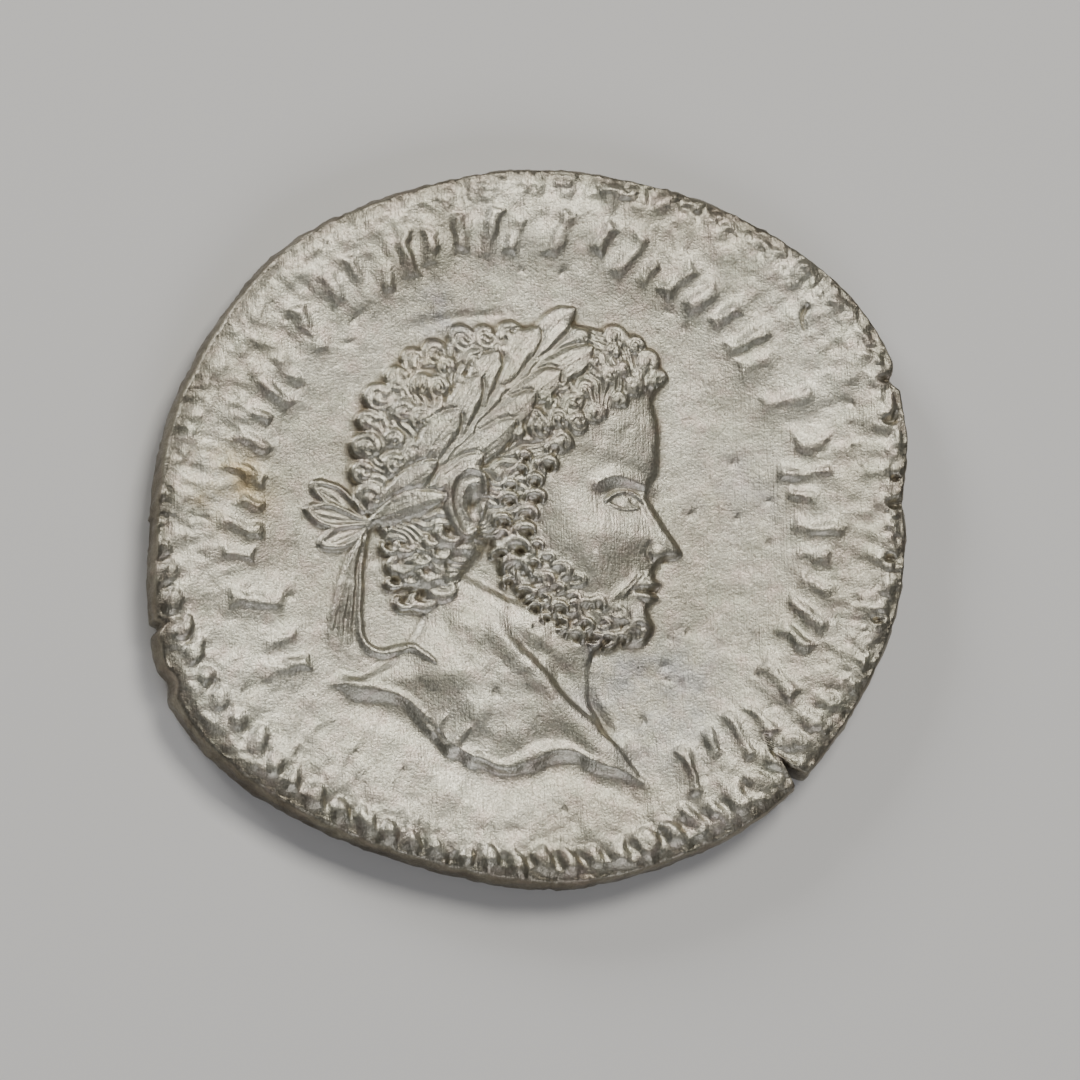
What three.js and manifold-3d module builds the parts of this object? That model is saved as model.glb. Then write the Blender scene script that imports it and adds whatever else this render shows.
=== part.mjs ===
// A struck silver denarius lying on its reverse, portrait side up. Millimetres, +Z up, origin under the
// middle of the coin on the plane it rests on. One solid: two faces and a hand-cut edge, with the small
// forms of the relief joined on and the high points of the reverse worn flat.

import * as THREE from 'three';
import * as BufferGeometryUtils from 'three/addons/utils/BufferGeometryUtils.js';
import Module from 'manifold-3d';

const wasm = await Module();
wasm.setup();

// Flan, the disc of silver
const flanDiameter = 19.26;
const webThickness = 0.94;
const fieldDish = 0.12;
const edgeRounding = 0.17;
const shoulderWidth = 0.42;
const shoulderDrop = 0.1;
const wearDepth = 0.22;

// Waves that make the hand-cut outline: lobes round the coin, depth as a share of the radius, turn in degrees
const outlineWaves = [
  { lobes: 2, share: 0.057, turn: 20.5 },
  { lobes: 3, share: 0.0064, turn: 54 },
  { lobes: 4, share: 0.0215, turn: 31.6 },
  { lobes: 5, share: 0.0036, turn: -10.4 },
  { lobes: 6, share: 0.0095, turn: 29.5 },
  { lobes: 8, share: 0.0038, turn: -12.5 },
  { lobes: 10, share: 0.0035, turn: -11.6 },
];

// Damage to the edge: an open crack, chips and a flaked stretch
const edgeDamage = [
  { name: 'open crack', turn: -43.4, mouth: 0.52, depth: 0.72, reach: 2.4 },
  { name: 'right nick', turn: 22.5, mouth: 0.7, depth: 0.2, reach: 1.2 },
  { name: 'flaked side', turn: 5.5, mouth: 2.6, depth: 0.13, reach: 1.4 },
  { name: 'left crack', turn: -164, mouth: 0.4, depth: 0.2, reach: 1.2 },
  { name: 'left pit', turn: -156, mouth: 0.9, depth: 0.16, reach: 1.2 },
];

// Border of beads, struck off centre, so that the edge of the flan cuts it at the top
const beadRingCentre = [-0.52, 0.8];
const beadRingRadius = 9.4;
const beadPitch = 0.73;
const beadRadius = 0.33;
const beadHeight = 0.16;

// Ring of shallow strokes where a legend stands on such a coin
const strokeRingCentre = [-0.14, 0.03];
const strokeRingRadius = 7.4;
const strokeRingStart = 208;
const strokeRingEnd = -54;
const strokeGroups = 24;
const strokeLength = 1.4;
const strokeWidth = 0.4;
const strokeHeight = 0.15;

// Portrait: its places are shares of the face height, measured from the chin, forward and up
const faceHeight = 6.2;
const chinPlace = [2.7, -3.0];
const headLean = 4;
const headLift = 0.46;
const headStep = 0.2;
const neckLift = 0.34;
const neckStep = 0.15;
const outlineStepWidth = 0.3;
const curlHeight = 0.13;
const leafHeight = 0.2;
const ribbonWidth = 0.42;
const ribbonHeight = 0.15;

// Reverse: a standing draped figure, its places as shares of its height from the foot up, and its relief as
// a share of its height too
const figureHeight = 13.2;
const figureMiddle = [0.15, 0.2];
const figureFoot = [figureMiddle[0], figureMiddle[1] - figureHeight / 2];
const figureReliefShare = 0.0227;
const figureLift = figureReliefShare * figureHeight;
const reverseDieTurn = 4;
const reverseRingCentre = [0.2, -0.15];
const reverseRingRadius = 8.55;
const reverseBeadPitch = 1.05;
const reverseBeadRadius = 0.34;
const reverseStrokeRadius = 6.75;

// Facets: cells across the grid that the faces are cut from, how far a facet may stand off the smooth
// surface or the outline, how deep a small form is set into its face, how far its slope goes on below the
// face, and the least edge kept by a join
const gridCells = 128;
const faceTolerance = 0.052;
const outlineTolerance = 0.025;
const setDepth = 0.22;
const slopeDepth = 0.04;
const joinTolerance = 0.035;

const radians = THREE.MathUtils.degToRad;
const clamp = THREE.MathUtils.clamp;
const smooth = (share) => THREE.MathUtils.smoothstep(share, 0, 1);

// Outline of the flan

function flanRadius(angle) {
  let share = 1;
  for (const wave of outlineWaves) {
    share += wave.share * Math.cos(wave.lobes * (angle - radians(wave.turn)));
  }
  return (flanDiameter / 2) * share;
}

function damageDepth(angle, inward) {
  let depth = 0;
  for (const bite of edgeDamage) {
    const turn = Math.atan2(Math.sin(angle - radians(bite.turn)), Math.cos(angle - radians(bite.turn)));
    const across = Math.abs(turn * flanRadius(angle)) / (bite.mouth / 2);
    const fade = clamp(1 - inward / bite.reach, 0, 1);
    depth += bite.depth * smooth(1 - across) * fade;
  }
  return depth;
}

// Point of the disc under a grid place from -1 to 1 each way: squares become rings about the middle
function discPoint(across, along) {
  if (across === 0 && along === 0) {
    return [0, 0];
  }
  const wide = Math.abs(across) >= Math.abs(along);
  const ring = wide ? across : along;
  const turn = (Math.PI / 4) * (wide ? along / across : across / along);
  const x = ring * (wide ? Math.cos(turn) : Math.sin(turn));
  const y = ring * (wide ? Math.sin(turn) : Math.cos(turn));
  const angle = Math.atan2(y, x);
  const whole = flanRadius(angle) - edgeRounding;
  const share = Math.abs(ring);
  const radius = share * whole - damageDepth(angle, (1 - share) * whole);
  return [radius * Math.cos(angle), radius * Math.sin(angle)];
}

// How far a face stands above its middle: a dished field and a rounded shoulder at the edge
function faceRise(x, y) {
  const angle = Math.atan2(y, x);
  const whole = flanRadius(angle) - edgeRounding;
  const distance = Math.hypot(x, y);
  const dish = fieldDish * smooth((distance / whole - 0.5) / 0.5);
  const shoulder = smooth((distance - whole + shoulderWidth) / shoulderWidth);
  return dish - shoulderDrop * shoulder;
}

// Small forms are low humps with a few sides, each standing in the frame of its own face

// A hump lies at a place, with half sizes along and across its turn, and rises to its height
function hump(place, half, turn, height, sides = 5) {
  return { place, half, turn, height, sides };
}

// A bar from one place to another
function bar(from, to, width, height) {
  const run = Math.hypot(to[0] - from[0], to[1] - from[1]);
  const turn = THREE.MathUtils.radToDeg(Math.atan2(to[1] - from[1], to[0] - from[0]));
  const place = [(from[0] + to[0]) / 2, (from[1] + to[1]) / 2];
  return hump(place, [(run + width) / 2, width / 2], turn, height, 4);
}

// A leaf from its foot to its tip, pointed at both ends
function leaf(foot, tip, width, height) {
  const run = Math.hypot(tip[0] - foot[0], tip[1] - foot[1]);
  const turn = THREE.MathUtils.radToDeg(Math.atan2(tip[1] - foot[1], tip[0] - foot[0]));
  return hump([(foot[0] + tip[0]) / 2, (foot[1] + tip[1]) / 2], [run / 2, width / 2], turn, height, 6);
}

function ridgeAlong(points, fromWidth, toWidth, height) {
  const last = points.length - 1;
  return points.slice(1).map((point, step) => (
    bar(points[step], point, THREE.MathUtils.lerp(fromWidth, toWidth, step / last), height)
  ));
}

const spline = (places) => new THREE.SplineCurve(places.map(([x, y]) => new THREE.Vector2(x, y)));

// Points of a smooth curve through a few places
function curveThrough(places, steps) {
  return spline(places).getPoints(steps).map((point) => [point.x, point.y]);
}

// How deep a point lies inside a closed outline; nothing outside
function depthInside(outline, x, y) {
  let inside = false;
  let nearest = Infinity;
  let [fromX, fromY] = outline[outline.length - 1];
  for (const [toX, toY] of outline) {
    if ((toY > y) !== (fromY > y) && x < ((fromX - toX) * (y - toY)) / (fromY - toY) + toX) {
      inside = !inside;
    }
    const runX = toX - fromX;
    const runY = toY - fromY;
    const share = clamp(((x - fromX) * runX + (y - fromY) * runY) / (runX * runX + runY * runY), 0, 1);
    nearest = Math.min(nearest, (x - fromX - runX * share) ** 2 + (y - fromY - runY * share) ** 2);
    fromX = toX;
    fromY = toY;
  }
  return inside ? Math.sqrt(nearest) : 0;
}

// A cushion over a closed outline: a step at its edge, then a slow round rise to its full lift
function cushion(outline, lift, step, riseWidth) {
  return (x, y) => {
    const depth = depthInside(outline, x, y);
    const rise = Math.sin((Math.PI / 2) * Math.min(1, depth / riseWidth));
    return step * smooth(depth / outlineStepWidth) + (lift - step) * rise;
  };
}

// A smooth swelling of the face, or a hollow where its height is negative
function swelling(place, half, turn, height) {
  const cos = Math.cos(radians(turn));
  const sin = Math.sin(radians(turn));
  return (x, y) => {
    const dx = x - place[0];
    const dy = y - place[1];
    const along = (dx * cos + dy * sin) / half[0];
    const across = (dy * cos - dx * sin) / half[1];
    return height * smooth(1 - Math.hypot(along, across));
  };
}

// Bead border and stroke ring

function beadBorder(centre, radius, pitch, beadRadius, sides) {
  const count = Math.round((2 * Math.PI * radius) / pitch);
  const beads = [];
  for (let index = 0; index < count; index += 1) {
    const angle = (2 * Math.PI * index) / count;
    const place = [centre[0] + radius * Math.cos(angle), centre[1] + radius * Math.sin(angle)];
    beads.push(hump(place, [beadRadius, beadRadius], THREE.MathUtils.radToDeg(angle), beadHeight, sides));
  }
  return beads;
}

// Each group is one to three strokes: slanted, doubled or bowed, none of them a letter
function strokeRing(centre, radius, startTurn, endTurn, groups) {
  const forms = [];
  const half = (strokeLength - strokeWidth) / 2;
  for (let index = 0; index < groups; index += 1) {
    const turn = radians(THREE.MathUtils.lerp(startTurn, endTurn, index / (groups - 1)));
    const out = [Math.cos(turn), Math.sin(turn)];
    const side = [Math.sin(turn), -Math.cos(turn)];
    const at = (sideways, outward) => [
      centre[0] + out[0] * (radius + outward) + side[0] * sideways,
      centre[1] + out[1] * (radius + outward) + side[1] * sideways,
    ];
    const kind = (index * 3) % 5;
    const slant = 0.16 * strokeLength * (index % 2 === 0 ? 1 : -1);
    const stroke = (from, to, width = strokeWidth) => forms.push(bar(from, to, width, strokeHeight));
    if (kind === 1) {
      stroke(at(0.3, -half), at(-0.12, 0));
      stroke(at(-0.12, 0), at(0.3, half));
    } else {
      const main = kind === 3 ? 0.28 : 0;
      stroke(at(main - slant, -half), at(main + slant, half));
    }
    if (kind === 0 || kind === 3) {
      const place = kind === 3 ? -0.34 : -0.62;
      stroke(at(place - slant, -half), at(place + slant * 0.4, half * 0.4), strokeWidth * 0.8);
    }
    if (kind === 2) {
      stroke(at(0.34, half * 0.8), at(0.76, half * 0.5), strokeWidth * 0.8);
    }
  }
  return forms;
}

// Portrait

function headPoint([forward, up]) {
  const lean = radians(headLean);
  return [
    chinPlace[0] + faceHeight * (forward * Math.cos(lean) + up * Math.sin(lean)),
    chinPlace[1] + faceHeight * (up * Math.cos(lean) - forward * Math.sin(lean)),
  ];
}

const headPoints = (places) => places.map(headPoint);
const headCurve = (places, steps) => curveThrough(headPoints(places), steps);
const headShare = (length) => length * faceHeight;

// A general profile in thirds: hairline, brow, foot of the nose and chin
const faceProfile = [
  [0.0, 1.0], [0.03, 0.86], [0.037, 0.71], [0.002, 0.62], [0.07, 0.5], [0.155, 0.385], [0.13, 0.35],
  [0.055, 0.333], [0.042, 0.285], [0.068, 0.25], [0.036, 0.223], [0.056, 0.195], [0.018, 0.145],
  [0.045, 0.075], [0.01, 0.0], [-0.05, -0.025],
];
const jawLine = [[-0.05, -0.025], [-0.2, -0.01], [-0.42, 0.06], [-0.57, 0.19], [-0.66, 0.36]];
const skullLine = [
  [-0.66, 0.36], [-0.82, 0.14], [-1.03, 0.15], [-1.1, 0.32], [-1.2, 0.45], [-1.235, 0.62], [-1.2, 0.82],
  [-1.09, 1.03], [-0.85, 1.22], [-0.52, 1.3], [-0.25, 1.28], [-0.08, 1.21], [0.02, 1.12], [0.0, 1.0],
];
const neckFront = [[-0.16, 0.05], [-0.21, -0.12], [-0.19, -0.28], [-0.06, -0.46], [0.09, -0.63]];
const neckCut = [
  [0.09, -0.63], [-0.1, -0.545], [-0.31, -0.485], [-0.52, -0.58], [-0.74, -0.52], [-0.88, -0.4],
  [-1.0, -0.33], [-1.22, -0.3],
];
const neckBack = [[-1.22, -0.3], [-1.06, -0.2], [-0.95, -0.03], [-0.93, 0.12], [-0.95, 0.3]];
const wreathLine = [[-1.1, 0.41], [-0.91, 0.7], [-0.7, 0.955], [-0.52, 1.13], [-0.34, 1.27]];
const knotPlace = [-1.15, 0.385];

const headOutline = [
  ...headCurve(faceProfile, 60).slice(1),
  ...headCurve(jawLine, 14).slice(1),
  ...headCurve(skullLine, 40).slice(1),
];
const neckOutline = [
  ...headCurve(neckFront, 12),
  ...headCurve(neckCut, 24).slice(1),
  ...headCurve(neckBack, 12).slice(1),
];

// A row of snail curls along a line
function curlRow(line, spacing, radius, height, stagger = 0) {
  const curve = spline(headPoints(line));
  const count = Math.max(1, Math.round(curve.getLength() / spacing));
  const curls = [];
  for (let index = 0; index <= count - stagger; index += 1) {
    const spot = curve.getPointAt((index + stagger / 2) / count);
    curls.push(hump([spot.x, spot.y], [radius, radius], 0, height));
  }
  return curls;
}

// The same row several times, each moved on by an offset
function curlRows(line, rows, offset, spacing, radius, height) {
  const curls = [];
  for (let row = 0; row < rows; row += 1) {
    const moved = line.map(([forward, up]) => [forward + offset[0] * row, up + offset[1] * row]);
    curls.push(...curlRow(moved, spacing, radius, height, row % 2));
  }
  return curls;
}

function hairForms() {
  const forms = [];
  // Back of the head, in arcs that shrink towards the wreath
  const crown = [-0.88, 0.85];
  const backLine = [[-1.17, 0.5], [-1.195, 0.66], [-1.14, 0.86], [-1.02, 1.04], [-0.84, 1.15], [-0.62, 1.22]];
  for (let row = 0; row < 3; row += 1) {
    const shrink = 1 - 0.34 * row;
    const line = backLine.map(([forward, up]) => [
      crown[0] + (forward - crown[0]) * shrink,
      crown[1] + (up - crown[1]) * shrink,
    ]);
    forms.push(...curlRow(line, 0.96, 0.49, curlHeight));
  }
  // Front hair between the wreath and the forehead
  const fringeLine = [[-0.03, 1.1], [-0.12, 0.99], [-0.27, 0.92], [-0.42, 0.83], [-0.52, 0.7]];
  forms.push(...curlRows(fringeLine, 3, [-0.08, 0.085], 0.94, 0.46, curlHeight));
  // Side of the face, down to the jaw, and the short beard in rows above it
  forms.push(...curlRow([[-0.52, 0.6], [-0.53, 0.42], [-0.5, 0.26]], 0.6, 0.34, curlHeight));
  const beardLine = [[-0.5, 0.17], [-0.36, 0.07], [-0.18, 0.02], [0.0, 0.035]];
  forms.push(...curlRows(beardLine, 3, [0.02, 0.075], 0.7, 0.36, curlHeight * 0.8));
  // Nape
  forms.push(...curlRows([[-1.04, 0.32], [-0.9, 0.3], [-0.78, 0.28]], 2, [0.02, -0.095], 0.72, 0.36, curlHeight));
  return forms;
}

// Two rows of leaves that spring from the wreath's line, pointing to its front end
function wreathForms() {
  const spine = spline(headPoints(wreathLine));
  const leaves = 7;
  const leafLength = 1.95;
  const leafWidth = 0.82;
  const forms = [];
  for (let index = 0; index < leaves; index += 1) {
    for (const side of [-1, 1]) {
      const share = ((index + (side > 0 ? 0.5 : 0)) / leaves) * 0.86;
      const foot = spine.getPointAt(share);
      const heading = spine.getTangentAt(share).rotateAround(new THREE.Vector2(), radians(24 * side));
      const tip = foot.clone().addScaledVector(heading, leafLength);
      forms.push(leaf([foot.x, foot.y], [tip.x, tip.y], leafWidth, leafHeight));
    }
  }
  return forms;
}

// Knot with its loops, and the two ribbon ends that hang behind the neck
function ribbonForms() {
  const knot = headPoint(knotPlace);
  const loops = [[-1.39, 0.53], [-1.37, 0.41], [-1.35, 0.285], [-0.95, 0.62], [-0.89, 0.52], [-0.93, 0.43]];
  const forms = loops.map((place) => leaf(knot, headPoint(place), 0.5, ribbonHeight));
  forms.push(hump(knot, [0.34, 0.34], 0, ribbonHeight + 0.05));
  const outerEnd = headCurve([knotPlace, [-1.2, 0.2], [-1.25, 0.03], [-1.29, -0.1]], 4);
  const innerEnd = headCurve([knotPlace, [-1.12, 0.12], [-1.12, -0.08], [-1.02, -0.13], [-0.87, -0.12]], 7);
  forms.push(...ridgeAlong(outerEnd, ribbonWidth * 0.6, ribbonWidth, ribbonHeight));
  forms.push(...ridgeAlong(innerEnd, ribbonWidth * 0.7, ribbonWidth * 0.8, ribbonHeight));
  return forms;
}

// Ear with its hollow, brow, lids, nose wing, lips and the neck tendon
function featureForms() {
  const forms = [
    ...ridgeAlong(headCurve([[-0.7, 0.63], [-0.78, 0.63], [-0.8, 0.53], [-0.76, 0.44], [-0.71, 0.39]], 6), 0.3, 0.3, 0.13),
    hump(headPoint([-0.7, 0.52]), [headShare(0.028), headShare(0.07)], 10, 0.07),
    ...ridgeAlong(headCurve([[-0.25, 0.63], [-0.14, 0.67], [-0.01, 0.655]], 3), 0.3, 0.26, 0.06),
    ...ridgeAlong(headCurve([[-0.19, 0.57], [-0.12, 0.612], [-0.035, 0.575]], 3), 0.16, 0.16, 0.06),
    hump(headPoint([-0.105, 0.57]), [headShare(0.05), headShare(0.026)], 0, 0.06),
    hump(headPoint([0.05, 0.37]), [headShare(0.045), headShare(0.032)], 10, 0.09),
    hump(headPoint([0.008, 0.246]), [headShare(0.06), headShare(0.017)], 8, 0.07),
    hump(headPoint([0.004, 0.2]), [headShare(0.05), headShare(0.018)], -6, 0.07),
  ];
  const tendon = headCurve([[-0.56, -0.09], [-0.36, -0.22], [-0.11, -0.42]], 3);
  return [...forms, ...ridgeAlong(tendon, 0.5, 0.36, 0.09)];
}

const head = cushion(headOutline, headLift, headStep, 2.6);
const neck = cushion(neckOutline, neckLift, neckStep, 2.0);
const faceSwellings = [
  swelling(headPoint([-0.27, 0.42]), [headShare(0.3), headShare(0.22)], -20, 0.09),
  swelling(headPoint([-0.005, 0.09]), [headShare(0.13), headShare(0.1)], 0, 0.07),
  swelling(headPoint([-0.1, 0.59]), [headShare(0.17), headShare(0.1)], 4, -0.12),
  swelling(headPoint([-0.74, 0.52]), [headShare(0.1), headShare(0.16)], 12, -0.08),
];

function obverseSurface(x, y) {
  let height = wearDepth + webThickness + faceRise(x, y) + Math.max(head(x, y), neck(x, y));
  for (const swell of faceSwellings) {
    height += swell(x, y);
  }
  return height;
}

function reverseSurface(x, y) {
  return wearDepth - faceRise(x, y);
}

// Reverse figure

function figurePoint([sideways, up]) {
  return [figureFoot[0] + sideways * figureHeight, figureFoot[1] + up * figureHeight];
}

function figureForms() {
  const share = (length) => length * figureHeight;
  const part = (place, half, turn, lift, sides = 8) => (
    hump(figurePoint(place), [share(half[0]), share(half[1])], turn, figureLift * lift, sides)
  );
  const limb = (from, to, width, lift) => bar(figurePoint(from), figurePoint(to), share(width), figureLift * lift);
  const forms = [
    part([0, 0.93], [0.05, 0.062], 0, 1),
    part([0.028, 0.958], [0.044, 0.038], 0, 0.9),
    limb([0, 0.88], [0, 0.83], 0.05, 0.8),
    part([0, 0.72], [0.1, 0.13], 0, 1),
    part([0, 0.52], [0.105, 0.12], 0, 1),
    limb([-0.09, 0.79], [-0.2, 0.64], 0.06, 0.85),
    limb([-0.2, 0.64], [-0.31, 0.68], 0.045, 0.8),
    limb([0.09, 0.79], [0.2, 0.68], 0.06, 0.85),
    limb([0.2, 0.68], [0.27, 0.78], 0.045, 0.8),
    limb([0.27, 1.0], [0.27, 0.01], 0.024, 0.6),
    part([0.27, 1.0], [0.024, 0.024], 0, 0.7, 6),
    limb([-0.11, 0.005], [-0.05, 0.005], 0.035, 0.8),
    limb([0.05, 0.005], [0.11, 0.005], 0.035, 0.8),
    limb([-0.3, -0.025], [0.36, -0.025], 0.022, 0.6),
    limb([-0.31, 0.62], [-0.33, 0.74], 0.02, 0.6),
    limb([-0.33, 0.74], [-0.36, 0.86], 0.018, 0.6),
  ];
  // Skirt folds that fan out from the waist, and the mantle's end over one arm
  const folds = 5;
  for (let index = 0; index < folds; index += 1) {
    const spread = index / (folds - 1) - 0.5;
    forms.push(limb([spread * 0.15, 0.5], [spread * 0.28, 0.05], 0.046, 1));
  }
  for (let index = 0; index < 3; index += 1) {
    const edge = 0.125 + index * 0.035;
    forms.push(limb([edge, 0.64], [edge + 0.015, 0.36 + index * 0.05], 0.03, 0.8));
  }
  // Leaves of the branch in the other hand
  for (let index = 0; index < 4; index += 1) {
    const foot = [-0.325 - index * 0.009, 0.69 + index * 0.045];
    for (const side of [-1, 1]) {
      const tip = [foot[0] + side * 0.058, foot[1] + 0.05];
      forms.push(leaf(figurePoint(foot), figurePoint(tip), share(0.03), figureLift * 0.65));
    }
  }
  return forms;
}

// A face is a grid of right triangles that splits only where a facet would stand off the surface

const gridSide = gridCells + 1;
const cellIndex = (column, row) => row * gridSide + column;

function gridPlaces() {
  const places = new Array(gridSide * gridSide);
  for (let row = 0; row < gridSide; row += 1) {
    for (let column = 0; column < gridSide; column += 1) {
      places[cellIndex(column, row)] = discPoint((2 * column) / gridCells - 1, (2 * row) / gridCells - 1);
    }
  }
  return places;
}

const onEdge = (column, row) => column % gridCells === 0 || row % gridCells === 0;

// Ends of the long side whose middle is this grid point, at this step
function longSideEnds(column, row, step) {
  const oddColumn = (column / step) % 2 === 1;
  const oddRow = (row / step) % 2 === 1;
  if (oddColumn && oddRow) {
    const half = 2 * step;
    const left = ((column - step) / half) % 2 === 1;
    const low = ((row - step) / half) % 2 === 1;
    const rising = 2 * step === gridCells || left === low;
    const tilt = rising ? 1 : -1;
    return [column - step, row - step * tilt, column + step, row + step * tilt];
  }
  return oddColumn ? [column - step, row, column + step, row] : [column, row - step, column, row + step];
}

function facetGap(places, heights, heightAt, column, row, step) {
  const [fromColumn, fromRow, toColumn, toRow] = longSideEnds(column, row, step);
  const from = cellIndex(fromColumn, fromRow);
  const to = cellIndex(toColumn, toRow);
  const [fromX, fromY] = places[from];
  const [toX, toY] = places[to];
  const middle = [(fromX + toX) / 2, (fromY + toY) / 2];
  let gap = Math.abs(heightAt(middle[0], middle[1]) - (heights[from] + heights[to]) / 2) / faceTolerance;
  if (onEdge(column, row)) {
    const [x, y] = places[cellIndex(column, row)];
    gap = Math.max(gap, Math.hypot(x - middle[0], y - middle[1]) / outlineTolerance);
  }
  return gap;
}

// Carries each gap up to the larger triangles that hold it, so that neighbours split alike
function carryUp(gaps) {
  for (let step = 1; step < gridCells; step *= 2) {
    const half = step / 2;
    for (let row = 0; row < gridSide; row += step) {
      for (let column = 0; column < gridSide; column += step) {
        if ((column / step + row / step) % 2 === 1 && step > 1) {
          takeLargest(gaps, column, row, [[-half, -half], [half, -half], [-half, half], [half, half]]);
        }
      }
    }
    for (let row = step; row < gridSide; row += 2 * step) {
      for (let column = step; column < gridSide; column += 2 * step) {
        takeLargest(gaps, column, row, [[-step, 0], [step, 0], [0, -step], [0, step]]);
      }
    }
  }
}

function takeLargest(gaps, column, row, steps) {
  for (const [across, along] of steps) {
    const nextColumn = column + across;
    const nextRow = row + along;
    if (nextColumn >= 0 && nextColumn < gridSide && nextRow >= 0 && nextRow < gridSide) {
      const here = cellIndex(column, row);
      gaps[here] = Math.max(gaps[here], gaps[cellIndex(nextColumn, nextRow)]);
    }
  }
}

function faceGaps(places, heights, heightAt) {
  const gaps = new Float64Array(gridSide * gridSide);
  for (let step = 1; step < gridCells; step *= 2) {
    for (let row = 0; row < gridSide; row += step) {
      for (let column = 0; column < gridSide; column += step) {
        if ((column / step) % 2 === 1 || (row / step) % 2 === 1) {
          gaps[cellIndex(column, row)] = facetGap(places, heights, heightAt, column, row, step);
        }
      }
    }
  }
  carryUp(gaps);
  return gaps;
}

function faceTriangles(gaps) {
  const triangles = [];
  const split = (ax, ay, bx, by, cx, cy) => {
    const mx = (ax + bx) / 2;
    const my = (ay + by) / 2;
    if (Math.abs(ax - cx) + Math.abs(ay - cy) > 1 && gaps[cellIndex(mx, my)] > 1) {
      split(cx, cy, ax, ay, mx, my);
      split(bx, by, cx, cy, mx, my);
    } else {
      triangles.push([cellIndex(ax, ay), cellIndex(bx, by), cellIndex(cx, cy)]);
    }
  };
  split(0, 0, gridCells, gridCells, gridCells, 0);
  split(gridCells, gridCells, 0, 0, 0, gridCells);
  return triangles;
}

// Grid points along the square's sides, counter-clockwise from one corner
function edgeWalk() {
  const walk = [];
  for (let step = 0; step < gridCells; step += 1) walk.push(cellIndex(step, 0));
  for (let step = 0; step < gridCells; step += 1) walk.push(cellIndex(gridCells, step));
  for (let step = gridCells; step > 0; step -= 1) walk.push(cellIndex(step, gridCells));
  for (let step = gridCells; step > 0; step -= 1) walk.push(cellIndex(0, step));
  return walk;
}

// Joining

function solidOf(geometry) {
  const bare = geometry.clone();
  bare.deleteAttribute('normal');
  bare.deleteAttribute('uv');
  const merged = BufferGeometryUtils.mergeVertices(bare, 1e-5);
  const corners = Array.from(merged.index.array);
  const kept = [];
  for (let step = 0; step < corners.length; step += 3) {
    const [a, b, c] = corners.slice(step, step + 3);
    if (a !== b && b !== c && c !== a) {
      kept.push(a, b, c);
    }
  }
  const mesh = new wasm.Mesh({
    numProp: 3,
    vertProperties: new Float32Array(merged.attributes.position.array),
    triVerts: new Uint32Array(kept),
  });
  return new wasm.Manifold(mesh);
}

function geometryOf(solid) {
  const mesh = solid.getMesh();
  const geometry = new THREE.BufferGeometry();
  geometry.setAttribute('position', new THREE.BufferAttribute(new Float32Array(mesh.vertProperties), 3));
  geometry.setIndex(Array.from(mesh.triVerts));
  return geometry;
}

// A hump as a solid of a few sides, standing at its place with its foot set into the face
function humpGeometry(form, surfaceHeight) {
  const foot = 1 + slopeDepth / form.height;
  const profile = [[0, -setDepth], [foot, -setDepth], [foot, -slopeDepth], [0, form.height]];
  const geometry = new THREE.LatheGeometry(profile.map(([out, up]) => new THREE.Vector2(out, up)), form.sides);
  geometry.rotateX(Math.PI / 2);
  const squared = form.sides === 4;
  if (squared) {
    geometry.rotateZ(Math.PI / 4);
  } else {
    geometry.rotateZ(Math.PI / 2);
  }
  const reach = squared ? Math.SQRT2 : 1;
  geometry.scale(form.half[0] * reach, form.half[1] * reach, 1);
  geometry.rotateZ(radians(form.turn));
  geometry.translate(form.place[0], form.place[1], surfaceHeight);
  return geometry;
}

// Whether a form stands wholly on its face, inside the rounded edge
function onFlan(form, x, y) {
  const rim = flanRadius(Math.atan2(y, x)) - edgeRounding;
  const footReach = form.half[1] * (1 + slopeDepth / form.height) * (form.sides === 4 ? Math.SQRT2 : 1);
  return Math.hypot(x, y) < rim - footReach;
}

function obverseSolids() {
  const strokes = strokeRing(strokeRingCentre, strokeRingRadius, strokeRingStart, strokeRingEnd, strokeGroups);
  const border = beadBorder(beadRingCentre, beadRingRadius, beadPitch, beadRadius, 5);
  const forms = [...border, ...strokes, ...hairForms(), ...ribbonForms(), ...wreathForms(), ...featureForms()];
  return forms
    .filter((form) => onFlan(form, form.place[0], form.place[1]))
    .map((form) => solidOf(humpGeometry(form, obverseSurface(form.place[0], form.place[1]))));
}

// The reverse die is turned a little, and its forms hang below the coin
function reverseSolids() {
  const [ringX, ringY] = reverseRingCentre;
  const forms = [
    ...figureForms(),
    ...beadBorder([ringX, ringY], reverseRingRadius, reverseBeadPitch, reverseBeadRadius, 4),
    ...strokeRing([ringX, ringY], reverseStrokeRadius, 118, 232, 8),
    ...strokeRing([ringX, ringY], reverseStrokeRadius, 62, -52, 8),
  ];
  const toFace = new THREE.Matrix4().makeRotationX(Math.PI).multiply(
    new THREE.Matrix4().makeRotationZ(radians(reverseDieTurn)),
  );
  const solids = [];
  for (const form of forms) {
    const spot = new THREE.Vector3(form.place[0], form.place[1], 0).applyMatrix4(toFace);
    if (onFlan(form, spot.x, spot.y)) {
      const geometry = humpGeometry(form, 0).applyMatrix4(toFace);
      geometry.translate(0, 0, reverseSurface(spot.x, spot.y));
      solids.push(solidOf(geometry));
    }
  }
  return solids;
}

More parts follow.
